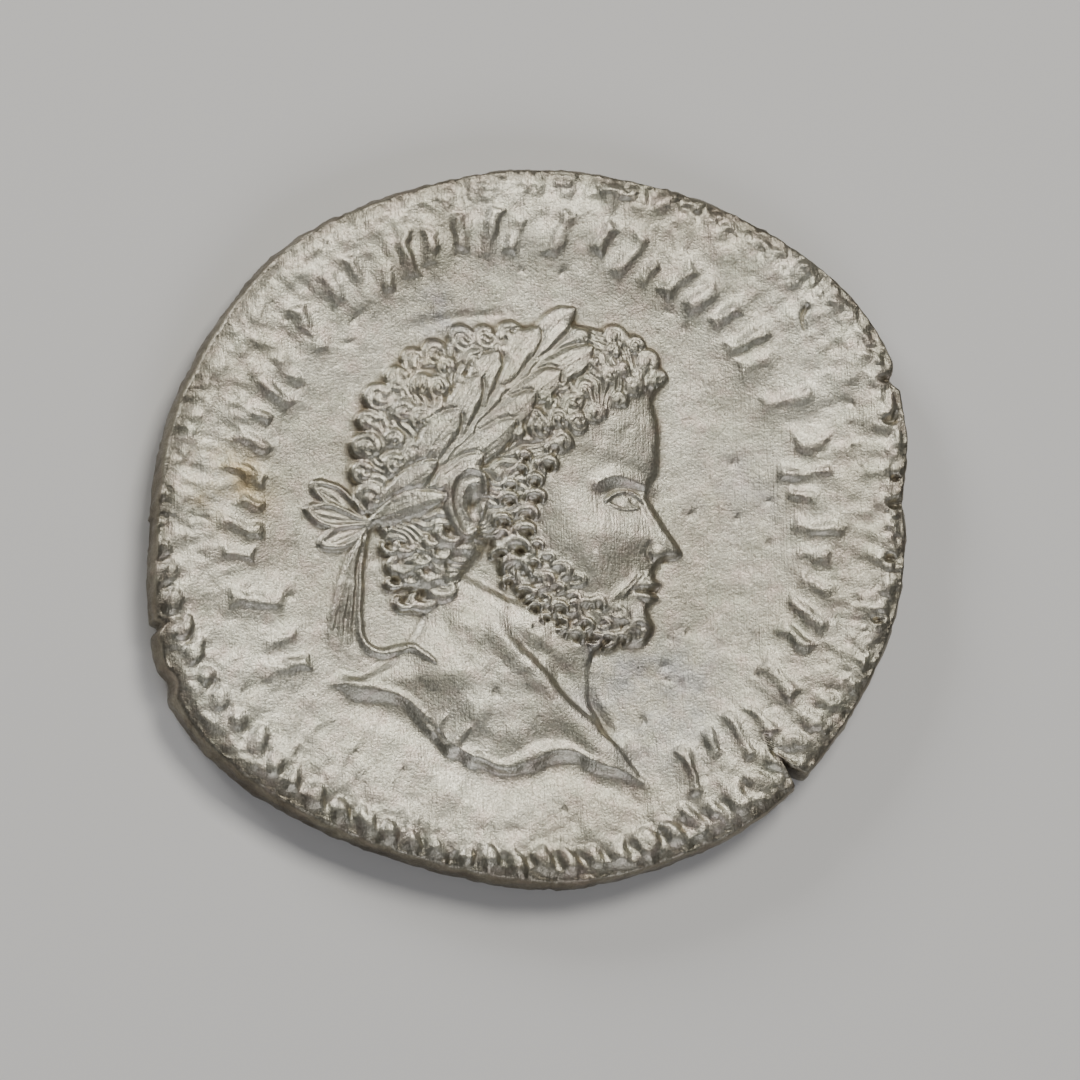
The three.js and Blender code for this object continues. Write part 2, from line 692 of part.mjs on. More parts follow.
// The flan without its small forms: two faces that share their rim, and the rounded edge between them
function flanGeometry() {
  const places = gridPlaces();
  const obverse = places.map(([x, y]) => obverseSurface(x, y));
  const reverse = places.map(([x, y]) => reverseSurface(x, y));
  const obverseGaps = faceGaps(places, obverse, obverseSurface);
  const reverseGaps = faceGaps(places, reverse, reverseSurface);
  const walk = edgeWalk();
  for (const index of walk) {
    const shared = Math.max(obverseGaps[index], reverseGaps[index]);
    obverseGaps[index] = shared;
    reverseGaps[index] = shared;
  }
  carryUp(obverseGaps);
  carryUp(reverseGaps);

  const positions = [];
  const indices = [];
  const addPoint = (x, y, z) => positions.push(x, y, z) / 3 - 1;
  const addFace = (gaps, heights, upward) => {
    const numbers = new Map();
    for (const triangle of faceTriangles(gaps)) {
      for (const index of upward ? triangle.reverse() : triangle) {
        if (!numbers.has(index)) {
          numbers.set(index, addPoint(places[index][0], places[index][1], heights[index]));
        }
        indices.push(numbers.get(index));
      }
    }
    return numbers;
  };
  const obverseNumbers = addFace(obverseGaps, obverse, true);
  const reverseNumbers = addFace(reverseGaps, reverse, false);

  // The middle of the edge stands out past both rims
  const ring = walk.filter((index) => obverseNumbers.has(index));
  const middle = ring.map((index) => {
    const [x, y] = places[index];
    const angle = Math.atan2(y, x);
    const radius = flanRadius(angle) - damageDepth(angle, 0);
    return addPoint(radius * Math.cos(angle), radius * Math.sin(angle), (reverse[index] + obverse[index]) / 2);
  });
  for (let step = 0; step < ring.length; step += 1) {
    const next = (step + 1) % ring.length;
    const top = obverseNumbers.get(ring[step]);
    const topNext = obverseNumbers.get(ring[next]);
    const foot = reverseNumbers.get(ring[step]);
    const footNext = reverseNumbers.get(ring[next]);
    indices.push(foot, footNext, middle[next], foot, middle[next], middle[step]);
    indices.push(middle[step], middle[next], topNext, middle[step], topNext, top);
  }

  const geometry = new THREE.BufferGeometry();
  geometry.setAttribute('position', new THREE.Float32BufferAttribute(positions, 3));
  geometry.setIndex(indices);
  return geometry;
}

// Everything below the plane that the coin lies on has been worn away
function wornAway() {
  const depth = 2;
  const slab = new THREE.BoxGeometry(2 * flanDiameter, 2 * flanDiameter, depth);
  slab.translate(0, 0, -depth / 2);
  return solidOf(slab);
}

// The largest body of a solid: the coin itself, with any pinhole under a small form filled
function wholeBody(solid) {
  return solid.decompose().reduce((best, body) => (body.volume() > best.volume() ? body : best));
}

function coinGeometry() {
  const joined = wasm.Manifold.union([solidOf(flanGeometry()), ...obverseSolids(), ...reverseSolids()]);
  const geometry = geometryOf(wholeBody(joined.subtract(wornAway()).simplify(joinTolerance)));
  geometry.computeBoundingBox();
  const box = geometry.boundingBox;
  geometry.translate(-(box.min.x + box.max.x) / 2, -(box.min.y + box.max.y) / 2, -box.min.z);
  geometry.computeVertexNormals();
  return geometry;
}

const silver = new THREE.MeshStandardMaterial({ color: 0xb9b4aa, roughness: 0.42, metalness: 1 });

const coin = new THREE.Mesh(coinGeometry(), silver);
coin.name = 'coin';

const denarius = new THREE.Group();
denarius.add(coin);

export default denarius;
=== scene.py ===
# A struck silver denarius lying on its reverse, portrait side up. The relief is worked out in the
# frame of the dies, with all places, widths and heights in millimetres and all turns in degrees unless
# a comment says otherwise, and goes into the mesh in metres.

import math

import bmesh
import bpy
import numpy as np
from mathutils import Matrix, Vector


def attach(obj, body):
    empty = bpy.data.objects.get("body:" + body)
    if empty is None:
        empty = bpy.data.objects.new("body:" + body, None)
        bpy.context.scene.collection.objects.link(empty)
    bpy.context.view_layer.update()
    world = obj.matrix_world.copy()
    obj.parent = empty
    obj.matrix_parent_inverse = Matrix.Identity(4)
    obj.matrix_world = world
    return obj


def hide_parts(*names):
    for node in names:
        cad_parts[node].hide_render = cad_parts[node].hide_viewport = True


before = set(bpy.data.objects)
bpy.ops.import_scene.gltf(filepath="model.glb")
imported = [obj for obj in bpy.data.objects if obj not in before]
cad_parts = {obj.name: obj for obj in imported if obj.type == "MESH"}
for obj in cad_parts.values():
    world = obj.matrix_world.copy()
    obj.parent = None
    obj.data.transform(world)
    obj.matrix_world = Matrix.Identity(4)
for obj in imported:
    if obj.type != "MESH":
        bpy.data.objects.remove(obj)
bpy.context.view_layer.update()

MM = 0.001

# Flan, the disc of silver
FLAN_DIAMETER = 19.26
WEB_THICKNESS = 0.94
FIELD_DISH = 0.12
EDGE_ROUNDING = 0.17
SHOULDER_WIDTH = 0.4
SHOULDER_DROP = 0.08
WEAR_DEPTH = 0.22

# Lobes round the hand-cut outline: how many, their depth as a share of the radius, and their turn
OUTLINE_WAVES = [
    (2, 0.057, 20.5), (3, 0.0064, 54), (4, 0.0215, 31.6), (5, 0.0036, -10.4),
    (6, 0.0095, 29.5), (8, 0.0038, -12.5), (10, 0.0035, -11.6),
]

# Bites in the edge: turn, mouth, depth and how far each is felt inwards
EDGE_DAMAGE = {
    "open crack": (-43.4, 0.52, 0.72, 2.4),
    "right nick": (22.5, 0.7, 0.2, 1.2),
    "flaked side": (5.5, 2.6, 0.13, 1.4),
    "left crack": (-164, 0.4, 0.2, 1.2),
    "left pit": (-156, 0.9, 0.16, 1.2),
}

# Border of beads, struck off centre, and the ring of strokes inside it
BEAD_RING_CENTRE = (-0.52, 0.8)
BEAD_RING_RADIUS = 9.4
BEAD_PITCH = 0.68
BEAD_RADIUS = 0.3
BEAD_HEIGHT = 0.17
STRONG_STRIKE_TURN = 225
WEAK_STRIKE_SHARE = 0.2
STROKE_RING_CENTRE = (-0.14, 0.03)
STROKE_RING_RADIUS = 7.4
STROKE_RING_START = 208
STROKE_RING_END = -54
STROKE_GROUPS = 24
STROKE_LENGTH = 1.4
STROKE_WIDTH = 0.7
STROKE_HEIGHT = 0.13
STROKE_LEAN = 0.3
NICKS = 150
NICK_REACH = 9.4

# Portrait: its places are shares of the face height, measured from the chin, forward and up
FACE_HEIGHT = 6.2
CHIN_PLACE = (2.7, -3.0)
HEAD_LEAN = 4
HEAD_LIFT = 0.44
HEAD_STEP = 0.12
HEAD_RISE_WIDTH = 2.6
NECK_LIFT = 0.25
NECK_STEP = 0.09
NECK_RISE_WIDTH = 2.0
OUTLINE_STEP_WIDTH = 0.2
CURL_HEIGHT = 0.16
LEAF_HEIGHT = 0.16
RIBBON_HEIGHT = 0.13

# Reverse: a standing draped figure, its places as shares of its height from the foot up
FIGURE_HEIGHT = 13.2
FIGURE_FOOT = (0.15, -6.4)
FIGURE_LIFT = 0.3
REVERSE_DIE_TURN = 4
REVERSE_RING_CENTRE = (0.2, -0.15)
REVERSE_RING_RADIUS = 8.55
REVERSE_STROKE_RADIUS = 6.75
REVERSE_STROKE_SPANS = [(118, 232), (62, -52)]
REVERSE_STROKE_GROUPS = 8

# Mesh: cells across the grid that is struck, rings down the edge, and triangles kept
FULL_GRID_CELLS = 512
GRID_CELLS = FULL_GRID_CELLS
FINENESS = GRID_CELLS / FULL_GRID_CELLS
WORN_TOP = 0.16
EDGE_RINGS = 6
# Height of the lowest points, a hair above the ground so that thinning the mesh never sinks them
LOWEST = 0.003
TRIANGLES_KEPT = 190000


def smooth(share):
    """A share held between 0 and 1, with a soft start and end."""
    held = np.clip(share, 0, 1)
    return held * held * (3 - 2 * held)


def heading(angle):
    """One step in a direction."""
    return np.array([math.cos(angle), math.sin(angle)])


def swells(x, y, size, seed):
    """Smooth random swells of about one size, from -1 to 1."""
    side = 256
    lattice = np.random.default_rng(seed).uniform(-1, 1, (side, side))
    u = x / size + side / 2
    v = y / size + side / 2
    column = np.floor(u).astype(int)
    row = np.floor(v).astype(int)
    across = smooth(u - column)
    along = smooth(v - row)

    def mixed(row):
        left = lattice[row % side, column % side]
        right = lattice[row % side, (column + 1) % side]
        return left * (1 - across) + right * across

    return mixed(row) * (1 - along) + mixed(row + 1) * along


# Outline of the flan


def flan_radius(angle):
    """Radius of the hand-cut outline."""
    share = np.ones_like(angle)
    for lobes, depth, turn in OUTLINE_WAVES:
        share = share + depth * np.cos(lobes * (angle - math.radians(turn)))
    return FLAN_DIAMETER / 2 * share


def damage_depth(angle, inward):
    """How far the bites push back a point that lies this far in from the outline."""
    depth = np.zeros_like(angle)
    for turn, mouth, bite, reach in EDGE_DAMAGE.values():
        away = angle - math.radians(turn)
        away = np.arctan2(np.sin(away), np.cos(away))
        across = np.abs(away * flan_radius(angle)) / (mouth / 2)
        depth = depth + bite * smooth(1 - across) * np.clip(1 - inward / reach, 0, 1)
    return depth


def disc_points(across, along):
    """Points of the disc under grid places from -1 to 1 each way: squares become rings about the middle."""
    wide = np.abs(across) >= np.abs(along)
    ring = np.where(wide, across, along)
    other = np.where(wide, along, across)
    turn = math.pi / 4 * other / np.where(ring == 0, 1, ring)
    x = ring * np.where(wide, np.cos(turn), np.sin(turn))
    y = ring * np.where(wide, np.sin(turn), np.cos(turn))
    angle = np.arctan2(y, x)
    whole = flan_radius(angle) - EDGE_ROUNDING
    share = np.abs(ring)
    radius = share * whole - damage_depth(angle, (1 - share) * whole)
    return radius * np.cos(angle), radius * np.sin(angle)


def face_rise(x, y):
    """How far a face stands above its middle: a dished field and a rounded shoulder at the edge."""
    whole = flan_radius(np.arctan2(y, x)) - EDGE_ROUNDING
    distance = np.hypot(x, y)
    dish = FIELD_DISH * smooth((distance / whole - 0.5) / 0.5)
    shoulder = smooth((distance - whole + SHOULDER_WIDTH) / SHOULDER_WIDTH)
    return dish - SHOULDER_DROP * shoulder


# Curves


# Weights of the four places about a stretch, by power of the share along it
CURVE_WEIGHTS = np.array([[0, 2, 0, 0], [-1, 0, 1, 0], [2, -5, 4, -1], [-1, 3, -3, 1]]) / 2


def curve_points(places, steps):
    """Points at even steps along a smooth curve through a few places."""
    places = np.array(places, float)
    last = len(places) - 1
    fine = np.linspace(0, last, 40 * last + 1)
    index = np.minimum(fine.astype(int), last - 1)
    powers = (fine - index)[:, None] ** np.arange(4)
    about = places[np.clip(index[:, None] + np.arange(-1, 3), 0, last)]
    points = np.einsum("np,pk,nkx->nx", powers, CURVE_WEIGHTS, about)
    run = np.concatenate([[0], np.cumsum(np.hypot(*np.diff(points, axis=0).T))])
    even = np.linspace(0, run[-1], steps + 1)
    return np.stack([np.interp(even, run, line) for line in points.T], axis=1)


def curve_length(places):
    points = curve_points(places, 60)
    return float(np.hypot(*np.diff(points, axis=0).T).sum())


class Die:
    """The sample points of one face, and the forms that are pressed into them."""

    # Cells of the index of points, and the step of its keys from one column to the next
    CELL = 0.5
    COLUMN_STEP = 1000
    SWELL_FADE = 0.15

    def __init__(self, x, y):
        self.x = x
        self.y = y
        self.body = np.zeros_like(x)
        self.raised = np.zeros_like(x)
        self.sunk = np.zeros_like(x)
        keys = np.floor(x / self.CELL).astype(int) * self.COLUMN_STEP + np.floor(y / self.CELL).astype(int)
        self.order = np.argsort(keys, kind="stable")
        self.keys = keys[self.order]

    def near(self, low, high):
        """Indices of the sample points in the cells between two corners."""
        first_column, first_row = (math.floor(value / self.CELL) for value in low)
        last_column, last_row = (math.floor(value / self.CELL) for value in high)
        picks = []
        for column in range(first_column, last_column + 1):
            start = np.searchsorted(self.keys, column * self.COLUMN_STEP + first_row)
            stop = np.searchsorted(self.keys, column * self.COLUMN_STEP + last_row, side="right")
            picks.append(self.order[start:stop])
        return np.concatenate(picks)

    def around(self, place, reach):
        """Indices of the points about a place, and how far they lie from it each way."""
        picks = self.near(np.subtract(place, reach), np.add(place, reach))
        return picks, self.x[picks] - place[0], self.y[picks] - place[1]

    def oval(self, place, half, turn):
        """Points about an oval: their indices, and places along and across it, with 1 at its edge."""
        picks, dx, dy = self.around(place, max(half))
        cos = math.cos(math.radians(turn))
        sin = math.sin(math.radians(turn))
        return picks, (dx * cos + dy * sin) / half[0], (dy * cos - dx * sin) / half[1]

    def beside(self, start, end, margin):
        """Points about a straight form: indices, share along it, distance to its side, and its length."""
        run = end - start
        length = math.hypot(*run)
        picks = self.around((start + end) / 2, length / 2 + margin)[0]
        dx = self.x[picks] - start[0]
        dy = self.y[picks] - start[1]
        along = (dx * run[0] + dy * run[1]) / length**2
        return picks, along, (dy * run[0] - dx * run[1]) / length, length

    def beside_line(self, points, widths):
        """Points inside a line: indices, distance as a share of its half width, and share along it."""
        points = np.asarray(points, float)
        widths = np.broadcast_to(widths, len(points))
        reach = widths.max() / 2
        picks = self.near(points.min(0) - reach, points.max(0) + reach)
        x = self.x[picks]
        y = self.y[picks]
        best = np.full(len(picks), np.inf)
        run = np.zeros(len(picks))
        last = len(points) - 1
        for step, leg in enumerate(np.diff(points, axis=0)):
            dx = x - points[step][0]
            dy = y - points[step][1]
            share = np.clip((dx * leg[0] + dy * leg[1]) / max(leg @ leg, 1e-9), 0, 1)
            away = np.hypot(dx - leg[0] * share, dy - leg[1] * share)
            width = widths[step] * (1 - share) + widths[step + 1] * share
            ratio = away / np.maximum(width / 2, 1e-6)
            closer = ratio < best
            best = np.where(closer, ratio, best)
            run = np.where(closer, (step + share) / last, run)
        inside = best < 1
        return picks[inside], best[inside], run[inside]

    def raise_to(self, picks, height):
        self.raised[picks] = np.maximum(self.raised[picks], height)

    def sink_to(self, picks, depth):
        self.sunk[picks] = np.maximum(self.sunk[picks], depth)

    def spread_body(self, picks, base, share):
        """Carries the head's step out under a form that stands over its edge."""
        self.body[picks] = np.maximum(self.body[picks], base * share)

    def cover(self, picks, height, share):
        """Lays a form over what is there, its share running from 0 at its edge to 1 inside."""
        self.raised[picks] = self.raised[picks] * (1 - share) + height * share
        self.sunk[picks] = self.sunk[picks] * (1 - share)

    def dome(self, place, half, turn, height, roundness=1.0):
        picks, along, across = self.oval(place, half, turn)
        self.raise_to(picks, height * np.clip(1 - along**2 - across**2, 0, 1) ** roundness)

    def pit(self, place, half, turn, depth):
        picks, along, across = self.oval(place, half, turn)
        self.sink_to(picks, depth * smooth(1 - np.hypot(along, across)))

    def ridge(self, points, widths, height):
        picks, away, _ = self.beside_line(points, widths)
        self.raise_to(picks, height * (1 - away**2))

    def groove(self, points, widths, depth):
        picks, away, _ = self.beside_line(points, widths)
        self.sink_to(picks, depth * (1 - away**2))

    def swell(self, points, widths, height, end_fade=SWELL_FADE):
        """A soft roll that adds to what is there and fades at both ends, the last one over a set share."""
        picks, away, run = self.beside_line(points, widths)
        ends = smooth(run / self.SWELL_FADE) * smooth((1 - run) / end_fade)
        self.body[picks] += height * smooth(1 - away) * ends

    def stroke(self, start, end, width, height):
        """A worn flat-topped stroke, a little wider at its ends, as a punch leaves it."""
        picks, along, across, length = self.beside(start, end, width)
        middle = 1 - (2 * along - 1) ** 2
        half = width / 2 * (0.85 + 0.25 * np.clip(1 - middle, 0, 1) ** 2)
        ends = np.minimum(along, 1 - along) * length
        inset = np.minimum((half - np.abs(across)) / (width * 0.42), ends / 0.28)
        worn = 0.8 + 0.4 * swells(self.x[picks], self.y[picks], 0.35, 17)
        # Metal that the punch pushed up lies round the stroke
        mound = 0.03 * smooth(1.1 - np.abs(across) / width) * smooth(0.5 + ends / 0.8)
        self.raise_to(picks, np.maximum(mound, height * worn * smooth(inset)))

    def leaf(self, foot, tip, width, height, bend=0.0, base=0.0):
        """A long leaf with a keel and streaks, rising to its tip and lying over what is under it."""
        picks, along, across, _ = self.beside(foot, tip, width / 2)
        along = np.clip(along, -0.2, 1.2)
        across = across - bend * np.clip(along * (1 - along), 0, 1)
        inside = (along > 0) & (along < 1)
        held = np.clip(along, 0, 1)
        half = width / 2 * np.maximum(2.35 * held**0.5 * (1 - held) ** 0.62 * (0.72 + 0.4 * held), 1e-3)
        side = np.abs(across) / half
        share = smooth((1 - side) / 0.25) * inside
        keel = np.clip(1 - np.abs(across) / 0.07, 0, 1)
        streaks = np.cos(across / 0.13 * 2 * math.pi) * smooth(along / 0.2) * smooth((1 - along) / 0.3)
        body = height * ((0.38 + 0.5 * held) * (1 - 0.4 * side**2) + 0.16 * keel + 0.08 * streaks)
        self.spread_body(picks, base, share)
        self.cover(picks, body, share)
        # A fine cut sets the leaf off from the head
        cut = np.exp(-(((np.abs(across) - half - 0.03) / 0.05) ** 2)) * inside * (side > 0.8)
        self.sink_to(picks, 0.06 * cut * (self.body[picks] > 0.05))

    def loop(self, foot, tip, width, height):
        """A loop of ribbon seen from its side: a raised band that runs out and back round a hollow."""
        run = (tip - foot) / math.hypot(*(tip - foot))
        side = np.array([-run[1], run[0]]) * width / 2
        middle = foot + (tip - foot) * 0.62
        band = curve_points([foot, middle + side, tip, middle - side, foot], 28)
        self.leaf(foot, tip, width * 1.1, height * 0.65)
        self.ridge(band, 0.22, height * 0.9)

    def curl(self, place, radius, height, turn, base=0.0):
        """A snail curl: a round lock wound on itself, with a drilled hollow beside its end."""
        picks, dx, dy = self.around(place, radius * 1.1)
        distance = np.hypot(dx, dy) / radius
        angle = np.mod(np.arctan2(dy, dx) - math.radians(turn), 2 * math.pi) / (2 * math.pi)
        reach = 1 - 0.2 * angle
        inside = distance < reach
        shape = height * np.clip(1 - (distance / reach) ** 2, 0, 1) ** 0.5
        seam = 0.2 + 0.5 * angle
        furrow = np.exp(-(((distance - seam) / 0.11) ** 2)) * smooth((1.05 - angle) / 0.2)
        shape = shape * (1 - 0.5 * furrow)
        self.spread_body(picks, base, smooth((1.04 * reach - distance) / 0.15))
        self.raise_to(picks[inside], shape[inside])
        hook = math.radians(turn) - 0.5
        self.pit(place + radius * 0.34 * heading(hook), (radius * 0.3, radius * 0.24), turn, height * 0.8)

    def lock(self, place, length, height, turn, base=0.0):
        """A short wavy lock: a bowed ridge that hooks round at its end, over a drilled pit."""
        bow = []
        for step in range(9):
            reach = length / 2 * (1 - 0.35 * (step / 8) ** 2)
            bow.append(place + reach * heading(math.radians(turn + 190 - 205 * step / 8)) * (1, 0.72))
        widths = length * np.interp(np.arange(9), [0, 4, 8], [0.22, 0.5, 0.3])
        picks, away, _ = self.beside_line(bow, widths)
        self.spread_body(picks, base, smooth((1 - away) / 0.3))
        self.raise_to(picks, height * (1 - away**2) ** 0.7)
        under = place + length * 0.14 * heading(math.radians(turn - 60))
        self.pit(under, (length * 0.27, length * 0.17), turn - 10, height * 0.9)


def depth_inside(outline, x, y):
    """How deep each point lies inside a closed outline; nothing outside."""
    inside = np.zeros(len(x), bool)
    nearest = np.full(len(x), 1e9)
    start_x, start_y = outline[-1]
    for end_x, end_y in outline:
        crosses = (end_y > y) != (start_y > y)
        slope = (start_x - end_x) / (start_y - end_y) if start_y != end_y else 0.0
        inside ^= crosses & (x < slope * (y - end_y) + end_x)
        leg_x = end_x - start_x
        leg_y = end_y - start_y
        dx = x - start_x
        dy = y - start_y
        share = np.clip((dx * leg_x + dy * leg_y) / max(leg_x**2 + leg_y**2, 1e-12), 0, 1)
        nearest = np.minimum(nearest, (dx - leg_x * share) ** 2 + (dy - leg_y * share) ** 2)
        start_x, start_y = end_x, end_y
    return np.where(inside, np.sqrt(nearest), 0)


def cushion(die, outline, lift, step, rise_width):
    """Height of a cushion over a closed outline: a step at its edge, then a slow round rise."""
    outline = np.asarray(outline)
    picks = die.near(outline.min(0), outline.max(0))
    depth = depth_inside(outline, die.x[picks], die.y[picks])
    rise = np.sin(math.pi / 2 * np.minimum(1, depth / rise_width))
    height = np.zeros_like(die.x)
    width = OUTLINE_STEP_WIDTH * (1 + 0.6 * swells(die.x[picks], die.y[picks], 0.8, 23))
    height[picks] = step * smooth(depth / width) + (lift - step) * rise
    return height


# Bead border and stroke ring


def strike_beads(die, centre, radius, strong_turn=0, weak_share=1.0):
    """Worn beads, struck full on one side of the ring and weakly on the other."""
    count = round(2 * math.pi * radius / BEAD_PITCH)
    draw = np.random.default_rng(5)
    for index in range(count):
        angle = 2 * math.pi * index / count
        out = radius + draw.uniform(-0.05, 0.05)
        place = centre + out * heading(angle)
        turned = math.cos(angle - math.radians(strong_turn))
        full = weak_share + (1 - weak_share) * float(smooth((turned + 0.6) / 1.2))
        if draw.uniform(0, 1) > full * 1.8:
            continue
        long = BEAD_RADIUS * draw.uniform(1.1, 1.6)
        wide = BEAD_RADIUS * draw.uniform(0.7, 0.95)
        slant = math.degrees(angle) + draw.uniform(0, 45)
        die.dome(place, (long, wide), slant, BEAD_HEIGHT * full * draw.uniform(0.5, 1.0))
        # The gap between two beads is cut a little below the field
        gap = centre + radius * heading(angle + math.pi / count)
        die.pit(gap, (BEAD_RADIUS * 1.1, BEAD_RADIUS * 0.5), slant, 0.05 * full)


def strike_nicks(die, seed):
    """Scattered nicks and specks over a face."""
    draw = np.random.default_rng(seed)
    for _ in range(NICKS):
        angle = draw.uniform(0, 2 * math.pi)
        place = NICK_REACH * math.sqrt(draw.uniform(0, 1)) * heading(angle)
        size = draw.uniform(0.05, 0.13)
        die.pit(place, (size * draw.uniform(1, 2.2), size), draw.uniform(0, 180), size * 0.35)


# A scratch over the hair, cracks that run in from the edge, and pits along the flaked side with their sizes
SCRATCH = [(-3.06, 4.9), (-2.0, 5.17), (-0.83, 5.33)]
CRACKS = [
    [(6.95, -6.55), (6.32, -6.0), (5.94, -5.6), (5.75, -5.2)],
    [(7.17, 5.66), (7.05, 5.4), (7.13, 5.1)],
]
RIM_PITS = [
    (9.2, 4.0, 0.24), (9.25, 2.95, 0.3), (9.3, 1.4, 0.2), (9.35, 0.7, 0.32), (9.2, -0.6, 0.24),
    (8.9, -2.2, 0.2),
]


def strike_cracks(die):
    die.groove(curve_points(SCRATCH, 12), np.linspace(0.45, 0.2, 13), 0.022)
    for places in CRACKS:
        die.groove(curve_points(places, 12), np.linspace(0.13, 0.06, 13), 0.16)
    for x, y, size in RIM_PITS:
        die.pit((x, y), (size, size * 0.6), 60 * x, 0.22)


# Bundles of slanted strokes, none of them a letter: each stroke's place to the side, and the shares of the
# ring's width between which it runs
STROKE_BUNDLES = [
    [(-0.36, 0.0, 1.0), (0.34, 0.0, 0.8)],
    [(-0.36, 0.25, 1.0), (0.36, 0.0, 1.0)],
    [(-0.4, 0.05, 0.85), (0.3, 0.2, 1.0)],
    [(0.0, 0.0, 1.0)],
    [(-0.34, 0.0, 0.6), (0.36, 0.0, 1.0)],
]


def strike_strokes(die, centre, radius, start_turn, end_turn, groups):
    """Bundles of strokes at even turns round a ring, each stroke leaned over and a little out of place."""
    draw = np.random.default_rng(7)
    lean = STROKE_LEAN * STROKE_LENGTH
    for index in range(groups):
        turn = start_turn + (end_turn - start_turn) * index / (groups - 1)
        out = heading(math.radians(turn))
        side = np.array([out[1], -out[0]])
        for sideways, low, high in STROKE_BUNDLES[index * 3 % len(STROKE_BUNDLES)]:
            ends = []
            for share in (low - 0.5, high - 0.5):
                loose = draw.uniform(-0.06, 0.06, 2)
                outward = out * (radius + share * STROKE_LENGTH)
                ends.append(centre + outward + side * (sideways + share * lean) + loose)
            width = STROKE_WIDTH * draw.uniform(0.8, 1.05)
            die.stroke(*ends, width, STROKE_HEIGHT * draw.uniform(0.75, 1.1))


# Portrait


def head_point(place):
    """A place of the head, in shares of the face height, as a point of the face of the coin."""
    lean = math.radians(HEAD_LEAN)
    forward, up = place
    return np.array([
        CHIN_PLACE[0] + FACE_HEIGHT * (forward * math.cos(lean) + up * math.sin(lean)),
        CHIN_PLACE[1] + FACE_HEIGHT * (up * math.cos(lean) - forward * math.sin(lean)),
    ])


def head_curve(places, steps):
    return curve_points([head_point(place) for place in places], steps)


def head_share(*lengths):
    return tuple(length * FACE_HEIGHT for length in lengths)


# A general profile in thirds: hairline, brow, foot of the nose and chin
FACE_PROFILE = [
    (0.0, 1.0), (0.03, 0.86), (0.037, 0.71), (0.002, 0.62), (0.07, 0.5), (0.155, 0.385), (0.13, 0.35),
    (0.055, 0.333), (0.042, 0.285), (0.068, 0.25), (0.036, 0.223), (0.056, 0.195), (0.018, 0.145),
    (0.045, 0.075), (0.01, 0.0), (-0.05, -0.025),
]
JAW_LINE = [(-0.05, -0.025), (-0.2, -0.01), (-0.42, 0.06), (-0.57, 0.19), (-0.66, 0.36)]
SKULL_LINE = [
    (-0.66, 0.36), (-0.82, 0.14), (-1.03, 0.15), (-1.1, 0.32), (-1.2, 0.45), (-1.235, 0.62), (-1.2, 0.82),
    (-1.09, 1.02), (-0.85, 1.18), (-0.52, 1.27), (-0.25, 1.28), (-0.08, 1.21), (0.02, 1.12), (0.0, 1.0),
]
HAIRLINE = [
    (0.0, 1.05), (-0.13, 0.98), (-0.28, 0.86), (-0.39, 0.74), (-0.46, 0.6), (-0.5, 0.4), (-0.6, 0.3),
    (-0.66, 0.36),
]
NECK_FRONT = [(-0.16, 0.05), (-0.21, -0.12), (-0.19, -0.28), (-0.06, -0.46), (0.09, -0.63)]
NECK_CUT = [
    (0.09, -0.63), (-0.1, -0.545), (-0.31, -0.485), (-0.52, -0.58), (-0.74, -0.52), (-0.88, -0.4),
    (-1.0, -0.33), (-1.18, -0.31), (-1.29, -0.285),
]
NECK_BACK = [(-1.29, -0.285), (-1.1, -0.2), (-0.95, -0.03), (-0.93, 0.12), (-0.95, 0.3)]
WREATH_LINE = [(-0.98, 0.54), (-0.84, 0.71), (-0.7, 0.9), (-0.55, 1.06), (-0.38, 1.2), (-0.24, 1.31)]
KNOT_PLACE = (-1.16, 0.385)
LOOP_TIPS = [(-1.39, 0.53), (-1.42, 0.42), (-1.35, 0.285)]
END_TIPS = [(-0.9, 0.66), (-0.86, 0.52)]


def joined_outline(*curves):
    return np.concatenate([head_curve(places, steps)[1:] for places, steps in curves])


def row_spots(line, spacing, row):
    """Even spots along a row of hair, moved on by half a step in every second row."""
    points = [head_point(place) for place in line]
    count = max(1, round(curve_length(points) / spacing))
    return curve_points(points, count * 2)[row % 2::2]


def strike_curls(die, line, spacing, radius, row, draw, base=0.0):
    for spot in row_spots(line, spacing, row):
        size = radius * draw.uniform(0.8, 1.2)
        place = spot + draw.uniform(-0.09, 0.09, 2)
        die.curl(place, size, CURL_HEIGHT * draw.uniform(0.7, 1.15), draw.uniform(-70, 60), base)


def strike_locks(die, line, spacing, length, height, turn, row, draw, loose, base=0.0):
    for spot in row_spots(line, spacing, row):
        place = spot + draw.uniform(-0.09, 0.09, 2)
        size = length * draw.uniform(0.75, 1.25)
        rise = CURL_HEIGHT * height * draw.uniform(0.7, 1.2)
        die.lock(place, size, rise, turn + draw.uniform(-loose, loose), base)


def strike_strands(die):
    """Fine strands that run between the curls."""
    outline = np.concatenate([head_curve(SKULL_LINE, 40), head_curve(HAIRLINE, 30)])
    picks = die.near(outline.min(0), outline.max(0))
    picks = picks[depth_inside(outline, die.x[picks], die.y[picks]) > 0.05]
    crown = head_point((-0.7, 0.95))
    reach = np.hypot(die.x[picks] - crown[0], die.y[picks] - crown[1])
    sway = 0.35 * swells(die.x[picks], die.y[picks], 0.5, 31)
    die.raise_to(picks, 0.03 + 0.03 * np.sin((reach + sway) / 0.2 * 2 * math.pi))


